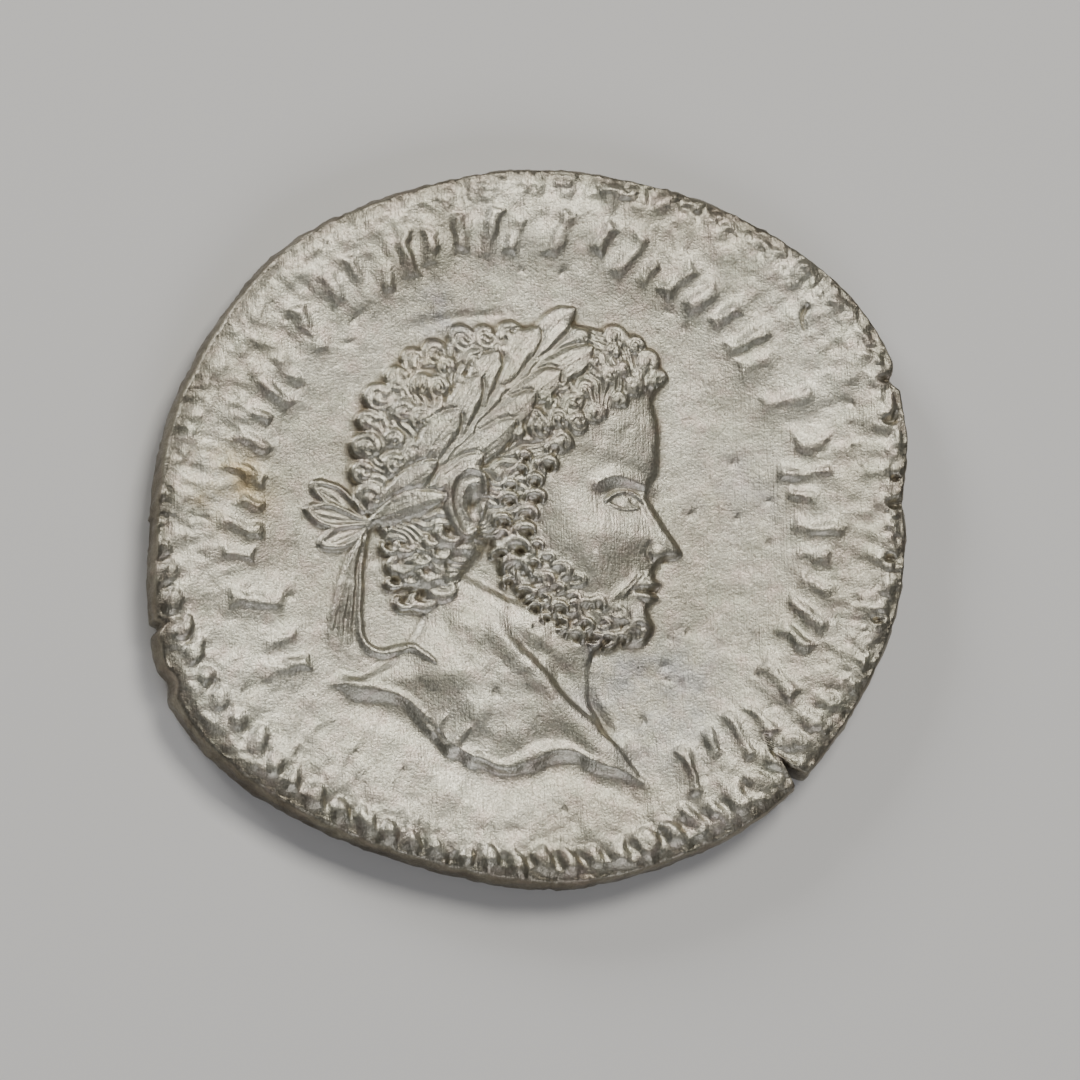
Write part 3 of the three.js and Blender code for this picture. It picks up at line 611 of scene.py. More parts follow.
def strike_crown(die, draw):
    """Rows of curls over the head, and the row that stands over its edge."""
    for row in (4, 3, 2, 1):
        inward = 0.098 * row
        line = [(-1.17 + inward * 1.1, 0.56), (-1.18 + inward, 0.74), (-1.1 + inward * 0.85, 0.94),
                (-0.97 + inward * 0.6, 1.09 - inward * 0.6), (-0.8 + inward * 0.4, 1.19 - inward),
                (-0.6 + inward * 0.3, 1.24 - inward)]
        strike_curls(die, line, 0.78, 0.39, row, draw)
    rim = [(-1.175, 0.5), (-1.205, 0.62), (-1.185, 0.8), (-1.11, 0.96), (-0.98, 1.07), (-0.83, 1.16),
           (-0.62, 1.21)]
    strike_curls(die, rim, 0.62, 0.4, 0, draw, HEAD_STEP)


def strike_fringe(die, draw):
    """Curls between the wreath and the forehead, with a short row at the very top."""
    for row in (3, 2, 1, 0):
        line = [(0.0 - 0.09 * row, 1.075 + 0.055 * row), (-0.13 - 0.07 * row, 1.01 + 0.065 * row),
                (-0.28 - 0.06 * row, 0.9 + 0.07 * row), (-0.39 - 0.055 * row, 0.78 + 0.05 * row)]
        strike_curls(die, line, 0.6, 0.3, row, draw, 0.0 if row else HEAD_STEP)
    strike_curls(die, [(0.0, 1.1), (-0.06, 1.19), (-0.16, 1.26)], 0.5, 0.33, 0, draw, HEAD_STEP)


def strike_beard(die, draw):
    """A ladder of short locks down past the ear, small locks round to the chin, and a few on the lip."""
    for row, length in ((1, 0.42), (0, 0.6)):
        line = [(-0.41 - 0.1 * row, 0.75), (-0.48 - 0.1 * row, 0.62), (-0.51 - 0.09 * row, 0.5),
                (-0.535 - 0.08 * row, 0.38), (-0.54 - 0.07 * row, 0.27)]
        strike_locks(die, line, 0.43, length, 1.0, 8, row, draw, 25)
    jaw = [(-0.56, 0.2), (-0.46, 0.09), (-0.32, 0.01), (-0.16, -0.01), (-0.02, 0.025)]
    for row, count in ((3, 3), (2, 4), (1, 5), (0, 5)):
        line = [(forward + 0.018 * row, up + 0.062 * row) for forward, up in jaw[:count]]
        # The lowest row stands over the edge of the jaw
        base = 0.0 if row else HEAD_STEP
        strike_locks(die, line, 0.45, 0.43, 0.85 - 0.12 * row, -35, row, draw, 85, base)
    for step in range(4):
        strand = [(0.035 - 0.028 * step, 0.29 - 0.004 * step), (0.012 - 0.034 * step, 0.262 - 0.012 * step),
                  (-0.012 - 0.042 * step, 0.232 - 0.02 * step)]
        die.ridge(head_curve(strand, 6), 0.12, 0.05)


def strike_nape(die, draw):
    """Rows of wavy locks down the back of the neck."""
    for row in (3, 2, 1, 0):
        drop = 0.075 * row
        line = [(-1.09 + 0.015 * row, 0.31 - drop), (-0.96, 0.33 - drop), (-0.83, 0.37 - drop)]
        strike_locks(die, line, 0.48, 0.6, 0.95 - 0.15 * row, 172, row, draw, 25, NECK_STEP)


def strike_wreath(die):
    """Pairs of long leaves along a band, each pair lying over the feet of the next one up."""
    steps = 200
    pairs = 5
    spine = head_curve(WREATH_LINE, steps)
    band, away, run = die.beside_line(spine[::10], 1.5)
    die.cover(band, 0.06, smooth((1 - away) / 0.5) * smooth((0.93 - run) / 0.1))
    draw = np.random.default_rng(3)
    for index in reversed(range(pairs)):
        for side in (1, -1):
            step = int((index + (0.35 if side > 0 else 0)) / pairs * 0.78 * steps)
            leg = spine[min(step + 10, steps)] - spine[max(step - 10, 0)]
            angle = math.atan2(leg[1], leg[0])
            foot = spine[step] + heading(angle + math.pi / 2) * 0.2 * side
            lean = angle + math.radians(14 * side + draw.uniform(-4, 4))
            tip = foot + draw.uniform(1.75, 2.05) * heading(lean)
            die.leaf(foot, tip, 0.78, LEAF_HEIGHT, 0.5 * side, HEAD_STEP if index > 2 else 0.0)


def strike_ribbons(die):
    """The wreath's knot behind the head, with its loops, and two ribbons that hang from it."""
    knot = head_point(KNOT_PLACE)
    outer = head_curve([(-1.18, 0.36), (-1.224, 0.22), (-1.245, 0.05), (-1.265, -0.2)], 16)
    inner = head_curve([
        (-1.17, 0.36), (-1.185, 0.2), (-1.18, 0.0), (-1.155, -0.1), (-1.09, -0.135), (-1.03, -0.12),
        (-0.965, -0.1), (-0.91, -0.125), (-0.86, -0.15),
    ], 30)
    die.swell(outer, np.linspace(0.3, 1.3, 17), RIBBON_HEIGHT * 0.6, 0.7)
    for shift in (-0.3, 0.0, 0.3):
        fold = outer + np.linspace(0, shift, 17)[:, None] * np.array([1.0, -0.25])
        die.swell(fold, 0.17, RIBBON_HEIGHT, 0.5)
    widths = np.interp(np.arange(31), [0, 14, 24, 30], [0.16, 0.2, 0.3, 0.12])
    die.ridge(inner, widths, RIBBON_HEIGHT * 0.85)
    for tip in LOOP_TIPS:
        die.loop(knot, head_point(tip), 0.5, RIBBON_HEIGHT + 0.02)
    for tip in END_TIPS:
        die.leaf(knot, head_point(tip), 0.66, LEAF_HEIGHT, 0.3)
    die.dome(knot, (0.26, 0.2), 30, RIBBON_HEIGHT + 0.04)


# Broad forms of the face: place, half widths, turn and height
FACE_FORMS = {
    "cheek": ((-0.25, 0.43), (0.26, 0.2), -20, 0.06),
    "forehead": ((-0.1, 0.84), (0.3, 0.2), 0, 0.03),
    "chin": ((-0.005, 0.09), (0.12, 0.1), 0, 0.07),
    "eye socket": ((-0.1, 0.59), (0.17, 0.1), 4, -0.11),
    "hollow round the ear": ((-0.74, 0.52), (0.1, 0.16), 12, -0.06),
    "hollow behind the mouth": ((-0.14, 0.24), (0.14, 0.12), 0, -0.03),
    "hollow under the jaw": ((-0.3, -0.12), (0.16, 0.2), 30, -0.06),
}


def face_swells(die):
    """The broad modelling of the head, as heights that add to its cushion."""
    swell = np.zeros_like(die.x)
    for place, half, turn, height in FACE_FORMS.values():
        picks, along, across = die.oval(head_point(place), head_share(*half), turn)
        swell[picks] += height * smooth(1 - np.hypot(along, across))
    return swell


def strike_features(die):
    # Brow, lids and eye
    die.swell(head_curve([(-0.28, 0.61), (-0.16, 0.665), (-0.02, 0.645), (0.03, 0.6)], 14), 0.6, 0.07)
    brow = head_curve([(-0.25, 0.625), (-0.15, 0.668), (-0.03, 0.65)], 12)
    die.ridge(brow, np.linspace(0.1, 0.2, 13), 0.03)
    die.dome(head_point((-0.1, 0.572)), head_share(0.055, 0.034), 0, 0.07, 0.7)
    die.ridge(head_curve([(-0.19, 0.562), (-0.145, 0.6), (-0.085, 0.612), (-0.03, 0.588)], 12), 0.15, 0.085)
    die.ridge(head_curve([(-0.17, 0.552), (-0.115, 0.534), (-0.05, 0.55)], 10), 0.11, 0.055)
    die.groove(head_curve([(-0.18, 0.6), (-0.12, 0.632), (-0.03, 0.622)], 10), 0.1, 0.035)
    die.pit(head_point((-0.075, 0.574)), (0.11, 0.11), 0, 0.06)
    # Nose, nostril, lips
    nose = head_curve([(-0.025, 0.6), (0.03, 0.5), (0.095, 0.39)], 10)
    die.ridge(nose, np.linspace(0.25, 0.55, 11), 0.06)
    die.dome(head_point((0.05, 0.368)), head_share(0.045, 0.034), 10, 0.1, 0.8)
    die.groove(head_curve([(0.0, 0.41), (-0.008, 0.37), (0.012, 0.335)], 8), 0.12, 0.05)
    die.pit(head_point((0.085, 0.345)), (0.13, 0.09), 20, 0.07)
    die.dome(head_point((0.015, 0.25)), head_share(0.065, 0.021), 12, 0.09)
    die.dome(head_point((0.008, 0.197)), head_share(0.052, 0.022), -6, 0.09)
    die.groove(head_curve([(0.045, 0.224), (-0.01, 0.22), (-0.065, 0.21)], 8), 0.1, 0.07)


def strike_ear(die):
    picks, along, across = die.oval(head_point((-0.765, 0.5)), head_share(0.09, 0.145), -6)
    share = smooth((1 - np.hypot(along, across)) / 0.2)
    die.cover(picks, 0.05 + 0.04 * (1 - along**2), share)
    rim = [(-0.7, 0.55), (-0.712, 0.615), (-0.77, 0.64), (-0.835, 0.585), (-0.845, 0.49), (-0.812, 0.405),
           (-0.765, 0.368), (-0.722, 0.395)]
    widths = np.interp(np.arange(31), [0, 15, 24, 30], [0.2, 0.27, 0.36, 0.26])
    die.ridge(head_curve(rim, 30), widths, 0.19)
    fold = [(-0.735, 0.59), (-0.778, 0.57), (-0.79, 0.49), (-0.758, 0.432)]
    die.ridge(head_curve(fold, 14), 0.17, 0.13)
    die.dome(head_point((-0.7, 0.48)), head_share(0.02, 0.04), 0, 0.14)
    die.pit(head_point((-0.742, 0.495)), (0.17, 0.36), -6, 0.12)


def strike_neck(die):
    """The long muscle with a hollow before it, and the rolled edge where the neck is cut off."""
    muscle = head_curve([(-0.72, 0.1), (-0.52, -0.08), (-0.3, -0.28), (-0.02, -0.52)], 16)
    die.swell(muscle, np.linspace(0.9, 1.5, 17), 0.1)
    hollow = head_curve([(-0.6, 0.02), (-0.4, -0.12), (-0.2, -0.3), (-0.07, -0.42)], 16)
    die.swell(hollow, np.interp(np.arange(17), [0, 8, 16], [0.5, 1.1, 0.5]), -0.11)
    crease = head_curve([(-0.5, -0.06), (-0.3, -0.24), (-0.1, -0.42)], 12)
    die.groove(crease, np.linspace(0.3, 0.14, 13), 0.05)
    die.swell(head_curve([(-0.95, 0.0), (-0.82, -0.2), (-0.6, -0.36)], 12), 1.4, 0.05)
    lip = [(-1.34, -0.29), (-1.24, -0.265), (-1.16, -0.3), (-1.0, -0.31), (-0.93, -0.36), (-0.84, -0.45),
           (-0.74, -0.51), (-0.55, -0.555), (-0.42, -0.5), (-0.3, -0.475), (-0.12, -0.52), (0.05, -0.605)]
    widths = [0.3, 0.7, 0.4, 0.5, 0.35, 0.8, 0.45, 0.3]
    die.swell(head_curve(lip, 40), np.interp(np.arange(41), [0, 5, 9, 16, 22, 27, 33, 40], widths), 0.1)
    # The field is pressed down a little below the cut
    below = head_curve(NECK_CUT, 40) + np.array([-0.16, -0.34])
    die.swell(below, np.interp(np.arange(41), [0, 12, 20, 30, 40], [0.5, 1.2, 1.6, 1.1, 0.9]), -0.05)
    # Short folds that run down to the cut
    folds = [((-0.7, -0.4), (-0.81, -0.52), 0.7, 0.09), ((-0.66, -0.5), (-0.71, -0.57), 0.55, 0.06),
             ((-0.8, -0.36), (-0.87, -0.46), 0.4, 0.05)]
    for foot, tip, width, height in folds:
        die.swell(head_curve([foot, tip], 6), np.linspace(0.15, width, 7), height)


def loosened(x, y, seed):
    """Places shifted a little, so that no form is as true as if it were drawn with a compass."""
    outer = smooth((np.hypot(x, y) - 5.4) / 1.4)
    broad = 0.04 + 0.05 * outer
    fine = 0.018 + 0.035 * outer
    shift_x = broad * swells(x, y, 0.7, seed) + fine * swells(x, y, 0.24, seed + 1)
    shift_y = broad * swells(x, y, 0.7, seed + 2) + fine * swells(x, y, 0.24, seed + 3)
    return x + shift_x, y + shift_y


def obverse_relief(x, y):
    die = Die(*loosened(x, y, 200))
    head_outline = joined_outline((FACE_PROFILE, 90), (JAW_LINE, 20), (SKULL_LINE, 60))
    neck_outline = joined_outline((NECK_FRONT, 16), (NECK_CUT, 36), (NECK_BACK, 16))
    head = cushion(die, head_outline, HEAD_LIFT, HEAD_STEP, HEAD_RISE_WIDTH)
    neck = cushion(die, neck_outline, NECK_LIFT, NECK_STEP, NECK_RISE_WIDTH)
    uneven = 0.1 * swells(die.x, die.y, 0.55, 27) + 0.06 * swells(die.x, die.y, 0.24, 28)
    die.body = np.maximum(head, neck * (1 + uneven))
    strike_strokes(
        die, STROKE_RING_CENTRE, STROKE_RING_RADIUS, STROKE_RING_START, STROKE_RING_END, STROKE_GROUPS
    )
    strike_beads(die, BEAD_RING_CENTRE, BEAD_RING_RADIUS, STRONG_STRIKE_TURN, WEAK_STRIKE_SHARE)
    strike_neck(die)
    strike_features(die)
    strike_strands(die)
    draw = np.random.default_rng(11)
    for strike_part in (strike_crown, strike_fringe, strike_beard, strike_nape):
        strike_part(die, draw)
    strike_wreath(die)
    strike_ribbons(die)
    strike_ear(die)
    strike_nicks(die, 61)
    strike_cracks(die)
    return die.body + die.raised - die.sunk + face_swells(die) * smooth(die.body / HEAD_STEP)


# Reverse


# Robe outline, from the neck down one side, along the hem and up the other
ROBE_OUTLINE = [
    (-0.025, 0.87), (-0.09, 0.85), (-0.115, 0.8), (-0.09, 0.7), (-0.072, 0.62), (-0.105, 0.52),
    (-0.125, 0.3), (-0.165, 0.035), (-0.09, 0.012), (0.0, 0.03), (0.09, 0.012), (0.17, 0.035),
    (0.135, 0.3), (0.115, 0.52), (0.075, 0.62), (0.095, 0.7), (0.115, 0.8), (0.09, 0.85), (0.025, 0.87),
]


def figure_point(place):
    return np.array([FIGURE_FOOT[0] + place[0] * FIGURE_HEIGHT, FIGURE_FOOT[1] + place[1] * FIGURE_HEIGHT])


def reverse_relief(x, y):
    turn = math.radians(REVERSE_DIE_TURN)
    x, y = loosened(x, y, 300)
    die = Die(x * math.cos(turn) - y * math.sin(turn), -x * math.sin(turn) - y * math.cos(turn))

    def figure_curve(places, steps=16):
        return curve_points([figure_point(place) for place in places], steps)

    def part(place, half, turn, lift):
        half = (half[0] * FIGURE_HEIGHT, half[1] * FIGURE_HEIGHT)
        die.dome(figure_point(place), half, turn, FIGURE_LIFT * lift, 0.7)

    def limb(places, lift, width, end_width=None):
        widths = np.linspace(width, end_width or width, 17) * FIGURE_HEIGHT
        die.ridge(figure_curve(places), widths, FIGURE_LIFT * lift)

    die.body = cushion(die, figure_curve(ROBE_OUTLINE, 120), FIGURE_LIFT * 0.8, FIGURE_LIFT * 0.45, 1.1)
    # Skirt folds fall from the belt and spread to the hem; bodice folds hang in bows between the shoulders
    draw = np.random.default_rng(41)
    folds = 8
    for index in range(folds):
        spread = index / (folds - 1) - 0.5
        sway = draw.uniform(-0.012, 0.012)
        line = figure_curve([(spread * 0.11, 0.6), (spread * 0.2 + sway, 0.36), (spread * 0.28, 0.03)])
        die.swell(line, np.linspace(0.25, 0.55, 17), 0.1)
        die.groove(line + (0.28, 0), np.linspace(0.12, 0.26, 17), 0.09)
    for index in range(4):
        drop = 0.04 * index
        bow = [(-0.085, 0.8 - drop), (-0.03, 0.745 - drop), (0.03, 0.74 - drop), (0.085, 0.79 - drop)]
        die.groove(figure_curve(bow), 0.2, 0.07)
    limb([(-0.072, 0.63), (0.0, 0.618), (0.074, 0.632)], 0.35, 0.024)
    limb([(-0.105, 0.5), (-0.03, 0.455), (0.05, 0.47), (0.115, 0.53)], 0.3, 0.03)
    # Mantle end over one arm
    for index in range(4):
        edge = 0.12 + index * 0.03
        limb([(edge, 0.72), (edge + 0.02, 0.56), (edge + 0.01, 0.38 + index * 0.05)], 0.55, 0.024, 0.032)
    # Arms, head with a roll of hair and a knot behind, and feet
    limb([(-0.1, 0.815), (-0.165, 0.72), (-0.225, 0.665), (-0.31, 0.685)], 0.8, 0.078, 0.034)
    limb([(0.1, 0.815), (0.17, 0.735), (0.215, 0.7), (0.27, 0.785)], 0.8, 0.078, 0.034)
    limb([(0.0, 0.91), (0.0, 0.845)], 0.7, 0.045, 0.06)
    part((0.004, 0.938), (0.036, 0.05), -8, 0.95)
    part((0.036, 0.928), (0.012, 0.009), 0, 0.6)
    limb([(0.026, 0.965), (0.004, 0.99), (-0.03, 0.975), (-0.044, 0.94), (-0.03, 0.905)], 0.9, 0.024, 0.03)
    part((-0.058, 0.93), (0.022, 0.019), 20, 0.75)
    part((-0.085, 0.005), (0.035, 0.016), 0, 0.7)
    part((0.08, 0.005), (0.035, 0.016), 0, 0.7)
    # Staff, ground line and branch
    limb([(0.27, 1.0), (0.27, 0.5), (0.272, 0.01)], 0.5, 0.02)
    part((0.27, 1.0), (0.02, 0.02), 0, 0.6)
    limb([(-0.3, -0.025), (0.0, -0.028), (0.36, -0.025)], 0.5, 0.02)
    branch = [(-0.305, 0.62), (-0.33, 0.74), (-0.365, 0.88)]
    limb(branch, 0.45, 0.02, 0.012)
    for foot in figure_curve(branch, 7)[2:]:
        for side in (-1, 1):
            die.leaf(foot, foot + (side * 0.72 - 0.15, 0.62), 0.36, FIGURE_LIFT * 0.6, 0.3 * side)
    strike_beads(die, REVERSE_RING_CENTRE, REVERSE_RING_RADIUS)
    for start, end in REVERSE_STROKE_SPANS:
        strike_strokes(die, REVERSE_RING_CENTRE, REVERSE_STROKE_RADIUS, start, end, REVERSE_STROKE_GROUPS)
    strike_nicks(die, 62)
    return die.body + die.raised - die.sunk


# Roughness of the metal between the forms, as swells: height, size, and what each adds to the face's seed
FIELD_SWELLS = [(0.01, 1.3, 0), (0.008, 0.42, 1)]
FIELD_GRAIN = [(0.003, 0.15, 2), (0.003, 0.08, 5)]
BORDER_LUMPS = [(0.02, 0.6, 3), (0.016, 0.26, 4)]
RIM_CRUMBS = [(0.035, 0.34, 9), (0.035, 0.15, 10)]
FLAKED_TURN = 20


def metal_texture(x, y, seed):
    """A field that is nearly smooth, and a rough border where the metal flowed."""

    def rough(layers):
        return sum(height * swells(x, y, size, seed + more) for height, size, more in layers)

    distance = np.hypot(x, y)
    angle = np.arctan2(y, x)
    share = distance / (flan_radius(angle) - EDGE_ROUNDING)
    border = smooth((share - 0.74) / 0.2)
    # Metal drawn outwards leaves low ridges that run to the edge
    ridges = swells(angle * 7, distance * 0.22, 0.3, seed + 6)
    ridges = ridges + 0.6 * swells(angle * 7, distance * 0.3, 0.13, seed + 8)
    flow = 0.014 * ridges * smooth((share - 0.62) / 0.25)
    # The rim is crumbly, most of all on its flaked side
    side = smooth(0.3 + np.cos(angle - math.radians(FLAKED_TURN)))
    crumbly = smooth((share - 0.9) / 0.07) * (0.5 + 0.5 * side)
    field = rough(FIELD_SWELLS) + rough(FIELD_GRAIN) * (1 + border)
    return field + rough(BORDER_LUMPS) * border + flow + rough(RIM_CRUMBS) * crumbly


def struck_slab():
    """A closed slab, its grid places from -1 to 1, the reverse at height 0 and the obverse at 1."""
    bm = bmesh.new()
    bmesh.ops.create_grid(bm, x_segments=GRID_CELLS, y_segments=GRID_CELLS, size=1)
    raised = bmesh.ops.extrude_face_region(bm, geom=bm.faces[:])["geom"]
    top = [part for part in raised if isinstance(part, bmesh.types.BMVert)]
    bmesh.ops.translate(bm, verts=top, vec=(0, 0, 1))
    upright = [edge for edge in bm.edges if abs(edge.verts[0].co.z - edge.verts[1].co.z) > 0.5]
    bmesh.ops.subdivide_edges(bm, edges=upright, cuts=EDGE_RINGS)
    bmesh.ops.recalc_face_normals(bm, faces=bm.faces[:])
    return mesh_from(bm, "coin struck silver")


def blurred(heights, cells):
    """Heights over the grid, blurred over some cells."""
    rows = np.fft.fftfreq(heights.shape[0])[:, None]
    columns = np.fft.rfftfreq(heights.shape[1])[None, :]
    keep = np.exp(-2 * (math.pi * cells) ** 2 * (rows**2 + columns**2))
    return np.fft.irfft2(np.fft.rfft2(heights) * keep, heights.shape)


def worn_down(struck):
    """Handling takes the sharpness off a relief and flattens its highest tops."""
    soft = 0.55 * struck + 0.45 * blurred(struck, 1.2 * FINENESS)
    broad = blurred(soft, 14 * FINENESS)
    detail = soft - broad
    flattened = WORN_TOP * (1 - np.exp(-np.maximum(detail, 0) / WORN_TOP))
    return broad + np.where(detail > 0, flattened, detail)


# Length and height of the wall for its swells, and how the dark edge, partly dirt and partly painted shade,
# reaches in over the faces, as shares of the radius
WALL_RADIUS = 9.6
WALL_HEIGHT = 1.2
DIRT_AND_SHADE_START = 0.955
DIRT_AND_SHADE_FADE = 0.04
# Outside this distance the toning grows thinner
DESIGN_REACH = 5.8


def round_edge(wall, x, y, level, low, high):
    """Rounds and roughens the wall between two rims; returns its bulge, its heights and its hollows."""
    angle = np.arctan2(y[wall], x[wall])
    share = level[wall]
    bulge = np.sin(math.pi * share) ** 0.6
    rough = 0.5 + 0.5 * swells(angle * WALL_RADIUS, share * WALL_HEIGHT, 0.45, 90)
    pitted = 0.5 + 0.5 * swells(angle * WALL_RADIUS, share * WALL_HEIGHT, 0.15, 91)
    radius = np.hypot(x[wall], y[wall]) + EDGE_ROUNDING * bulge * (1 - 0.5 * rough - 0.4 * pitted)
    x[wall] = radius * np.cos(angle)
    y[wall] = radius * np.sin(angle)
    return bulge, low + (high - low) * share, 0.03 * rough + 0.03 * pitted


def strike(mesh):
    """Gives each vertex of the slab its place on the coin, and marks hollows and edge for the finish."""
    count = len(mesh.vertices)
    slab = np.empty(count * 3)
    mesh.vertices.foreach_get("co", slab)
    across, along, level = slab.reshape(-1, 3).T
    top = level > 0.999
    bottom = level < 0.001
    wall = ~(top | bottom)
    x, y = disc_points(across, along)
    z = np.zeros(count)
    hollow = np.zeros(count)
    cell = 2 / GRID_CELLS
    cells = (np.rint((along + 1) / cell).astype(int), np.rint((across + 1) / cell).astype(int))

    def as_grid(picks, values):
        grid = np.zeros((GRID_CELLS + 1, GRID_CELLS + 1))
        grid[cells[0][picks], cells[1][picks]] = values
        return grid

    rims = []
    for picks, relief, seed, up in ((top, obverse_relief, 40, 1), (bottom, reverse_relief, 60, -1)):
        place = (cells[0][picks], cells[1][picks])
        worn = worn_down(as_grid(picks, relief(x[picks], y[picks])))[place]
        height = face_rise(x[picks], y[picks]) + worn + metal_texture(x[picks], y[picks], seed)
        base = WEAR_DEPTH + (WEB_THICKNESS if up > 0 else 0)
        z[picks] = np.maximum(LOWEST, base + up * height)
        grid = as_grid(picks, height)
        sunken = 0.9 * blurred(grid, 3 * FINENESS) + 0.1 * blurred(grid, 8 * FINENESS) - grid
        outer = smooth((np.hypot(x[picks], y[picks]) - DESIGN_REACH) / 1.2)
        hollow[picks] = sunken[place] * (1 - 0.45 * outer)
        rims.append(as_grid(picks, z[picks])[cells[0][wall], cells[1][wall]])
    bulge, z[wall], hollow[wall] = round_edge(wall, x, y, level, rims[1], rims[0])
    # Darker rim and wall, partly dirt and partly painted shade, darkest halfway up the wall where it bulges
    edge = 0.7 * smooth((np.maximum(np.abs(across), np.abs(along)) - DIRT_AND_SHADE_START) / DIRT_AND_SHADE_FADE)
    edge[wall] = 0.7 + 0.3 * bulge
    # The middle of the coin's own box goes over the middle of the frame's box
    middle = ((x.min() + x.max()) / 2, (y.min() + y.max()) / 2)
    places = np.stack([x - middle[0], y - middle[1], z], axis=1) * MM
    mesh.vertices.foreach_set("co", places.ravel())
    for name, values in (("hollow", hollow), ("edge", edge)):
        layer = mesh.attributes.new(name, "FLOAT", "POINT")
        layer.data.foreach_set("value", values.astype(np.float32))
    mesh.update()
    return middle


# Objects


def mesh_from(bm, name):
    mesh = bpy.data.meshes.new(name)
    bm.to_mesh(mesh)
    bm.free()
    return mesh


def placed(name, data):
    """A new object in the scene."""
    item = bpy.data.objects.new(name, data)
    bpy.context.collection.objects.link(item)
    return item


# Materials


def linear(code):
    """An sRGB hex colour as linear red, green, blue and full alpha."""
    parts = [int(code[start:start + 2], 16) / 255 for start in (1, 3, 5)]
    return [part / 12.92 if part <= 0.04045 else ((part + 0.055) / 1.055) ** 2.4 for part in parts] + [1]


def add(tree, kind, inputs=None, **settings):
    """Adds a node with its properties; each input is joined to another node's output or given a value."""
    node = tree.nodes.new(kind)
    for name, value in settings.items():
        setattr(node, name, value)
    for name, source in (inputs or {}).items():
        if isinstance(source, bpy.types.NodeSocket):
            tree.links.new(source, node.inputs[name])
        else:
            node.inputs[name].default_value = source
    return node


def per_metre(size_mm):
    """Noise scale that gives features of about this size."""
    return 1 / (size_mm * MM)


# Tints over the silver: size, detail, the range of the noise where they come in, strength and colour
SILVER_COLOUR = "#CAC6B6"
SILVER_TINTS = [
    (2.6, 3.0, 0.35, 0.68, 1.0, "#AEA897"), (0.45, 4.0, 0.48, 0.72, 0.5, "#C0AA9F"),
    (0.7, 4.0, 0.5, 0.72, 0.45, "#AEB09A"), (0.07, 2.0, 0.42, 0.72, 0.6, "#8F8878"),
]
TONING_COLOUR = "#64573F"
# How deep a hollow is where the toning starts and where it is full
TONING_DEPTHS = (0.014, 0.072)
# Dark brown of the rim and the wall: partly dirt, partly painted shade on the steep wall
EDGE_DIRT_AND_SHADE_COLOUR = "#4B4133"

# Stains on the field: place, reach, colour and strength
STAINS = [
    ((-7.8, 0.9), 1.6, "#9C8A64", 0.8), ((-2.6, 3.9), 1.2, "#A1906B", 0.6),
    ((2.8, -4.2), 2.6, "#8E9198", 0.6), ((-2.2, 5.15), 1.2, "#83868E", 0.8),
    ((5.4, 1.0), 1.8, "#A9A5A2", 0.5),
]
# Unevenness too fine for the mesh: size, detail, roughness of the noise, strength and depth. The hairlines
# left by cleaning run mostly one way, and the grain is drawn coarser than the real one, so that it shows
UNEVEN = (0.6, 5.0, 0.6, 0.5, 0.04)
HAIRLINES = (0.05, 2.0, 0.5, 0.9, 0.01)
GRAIN = (0.06, 3.0, 0.6, 1.0, 0.011)
HAIRLINE_TURN = 52


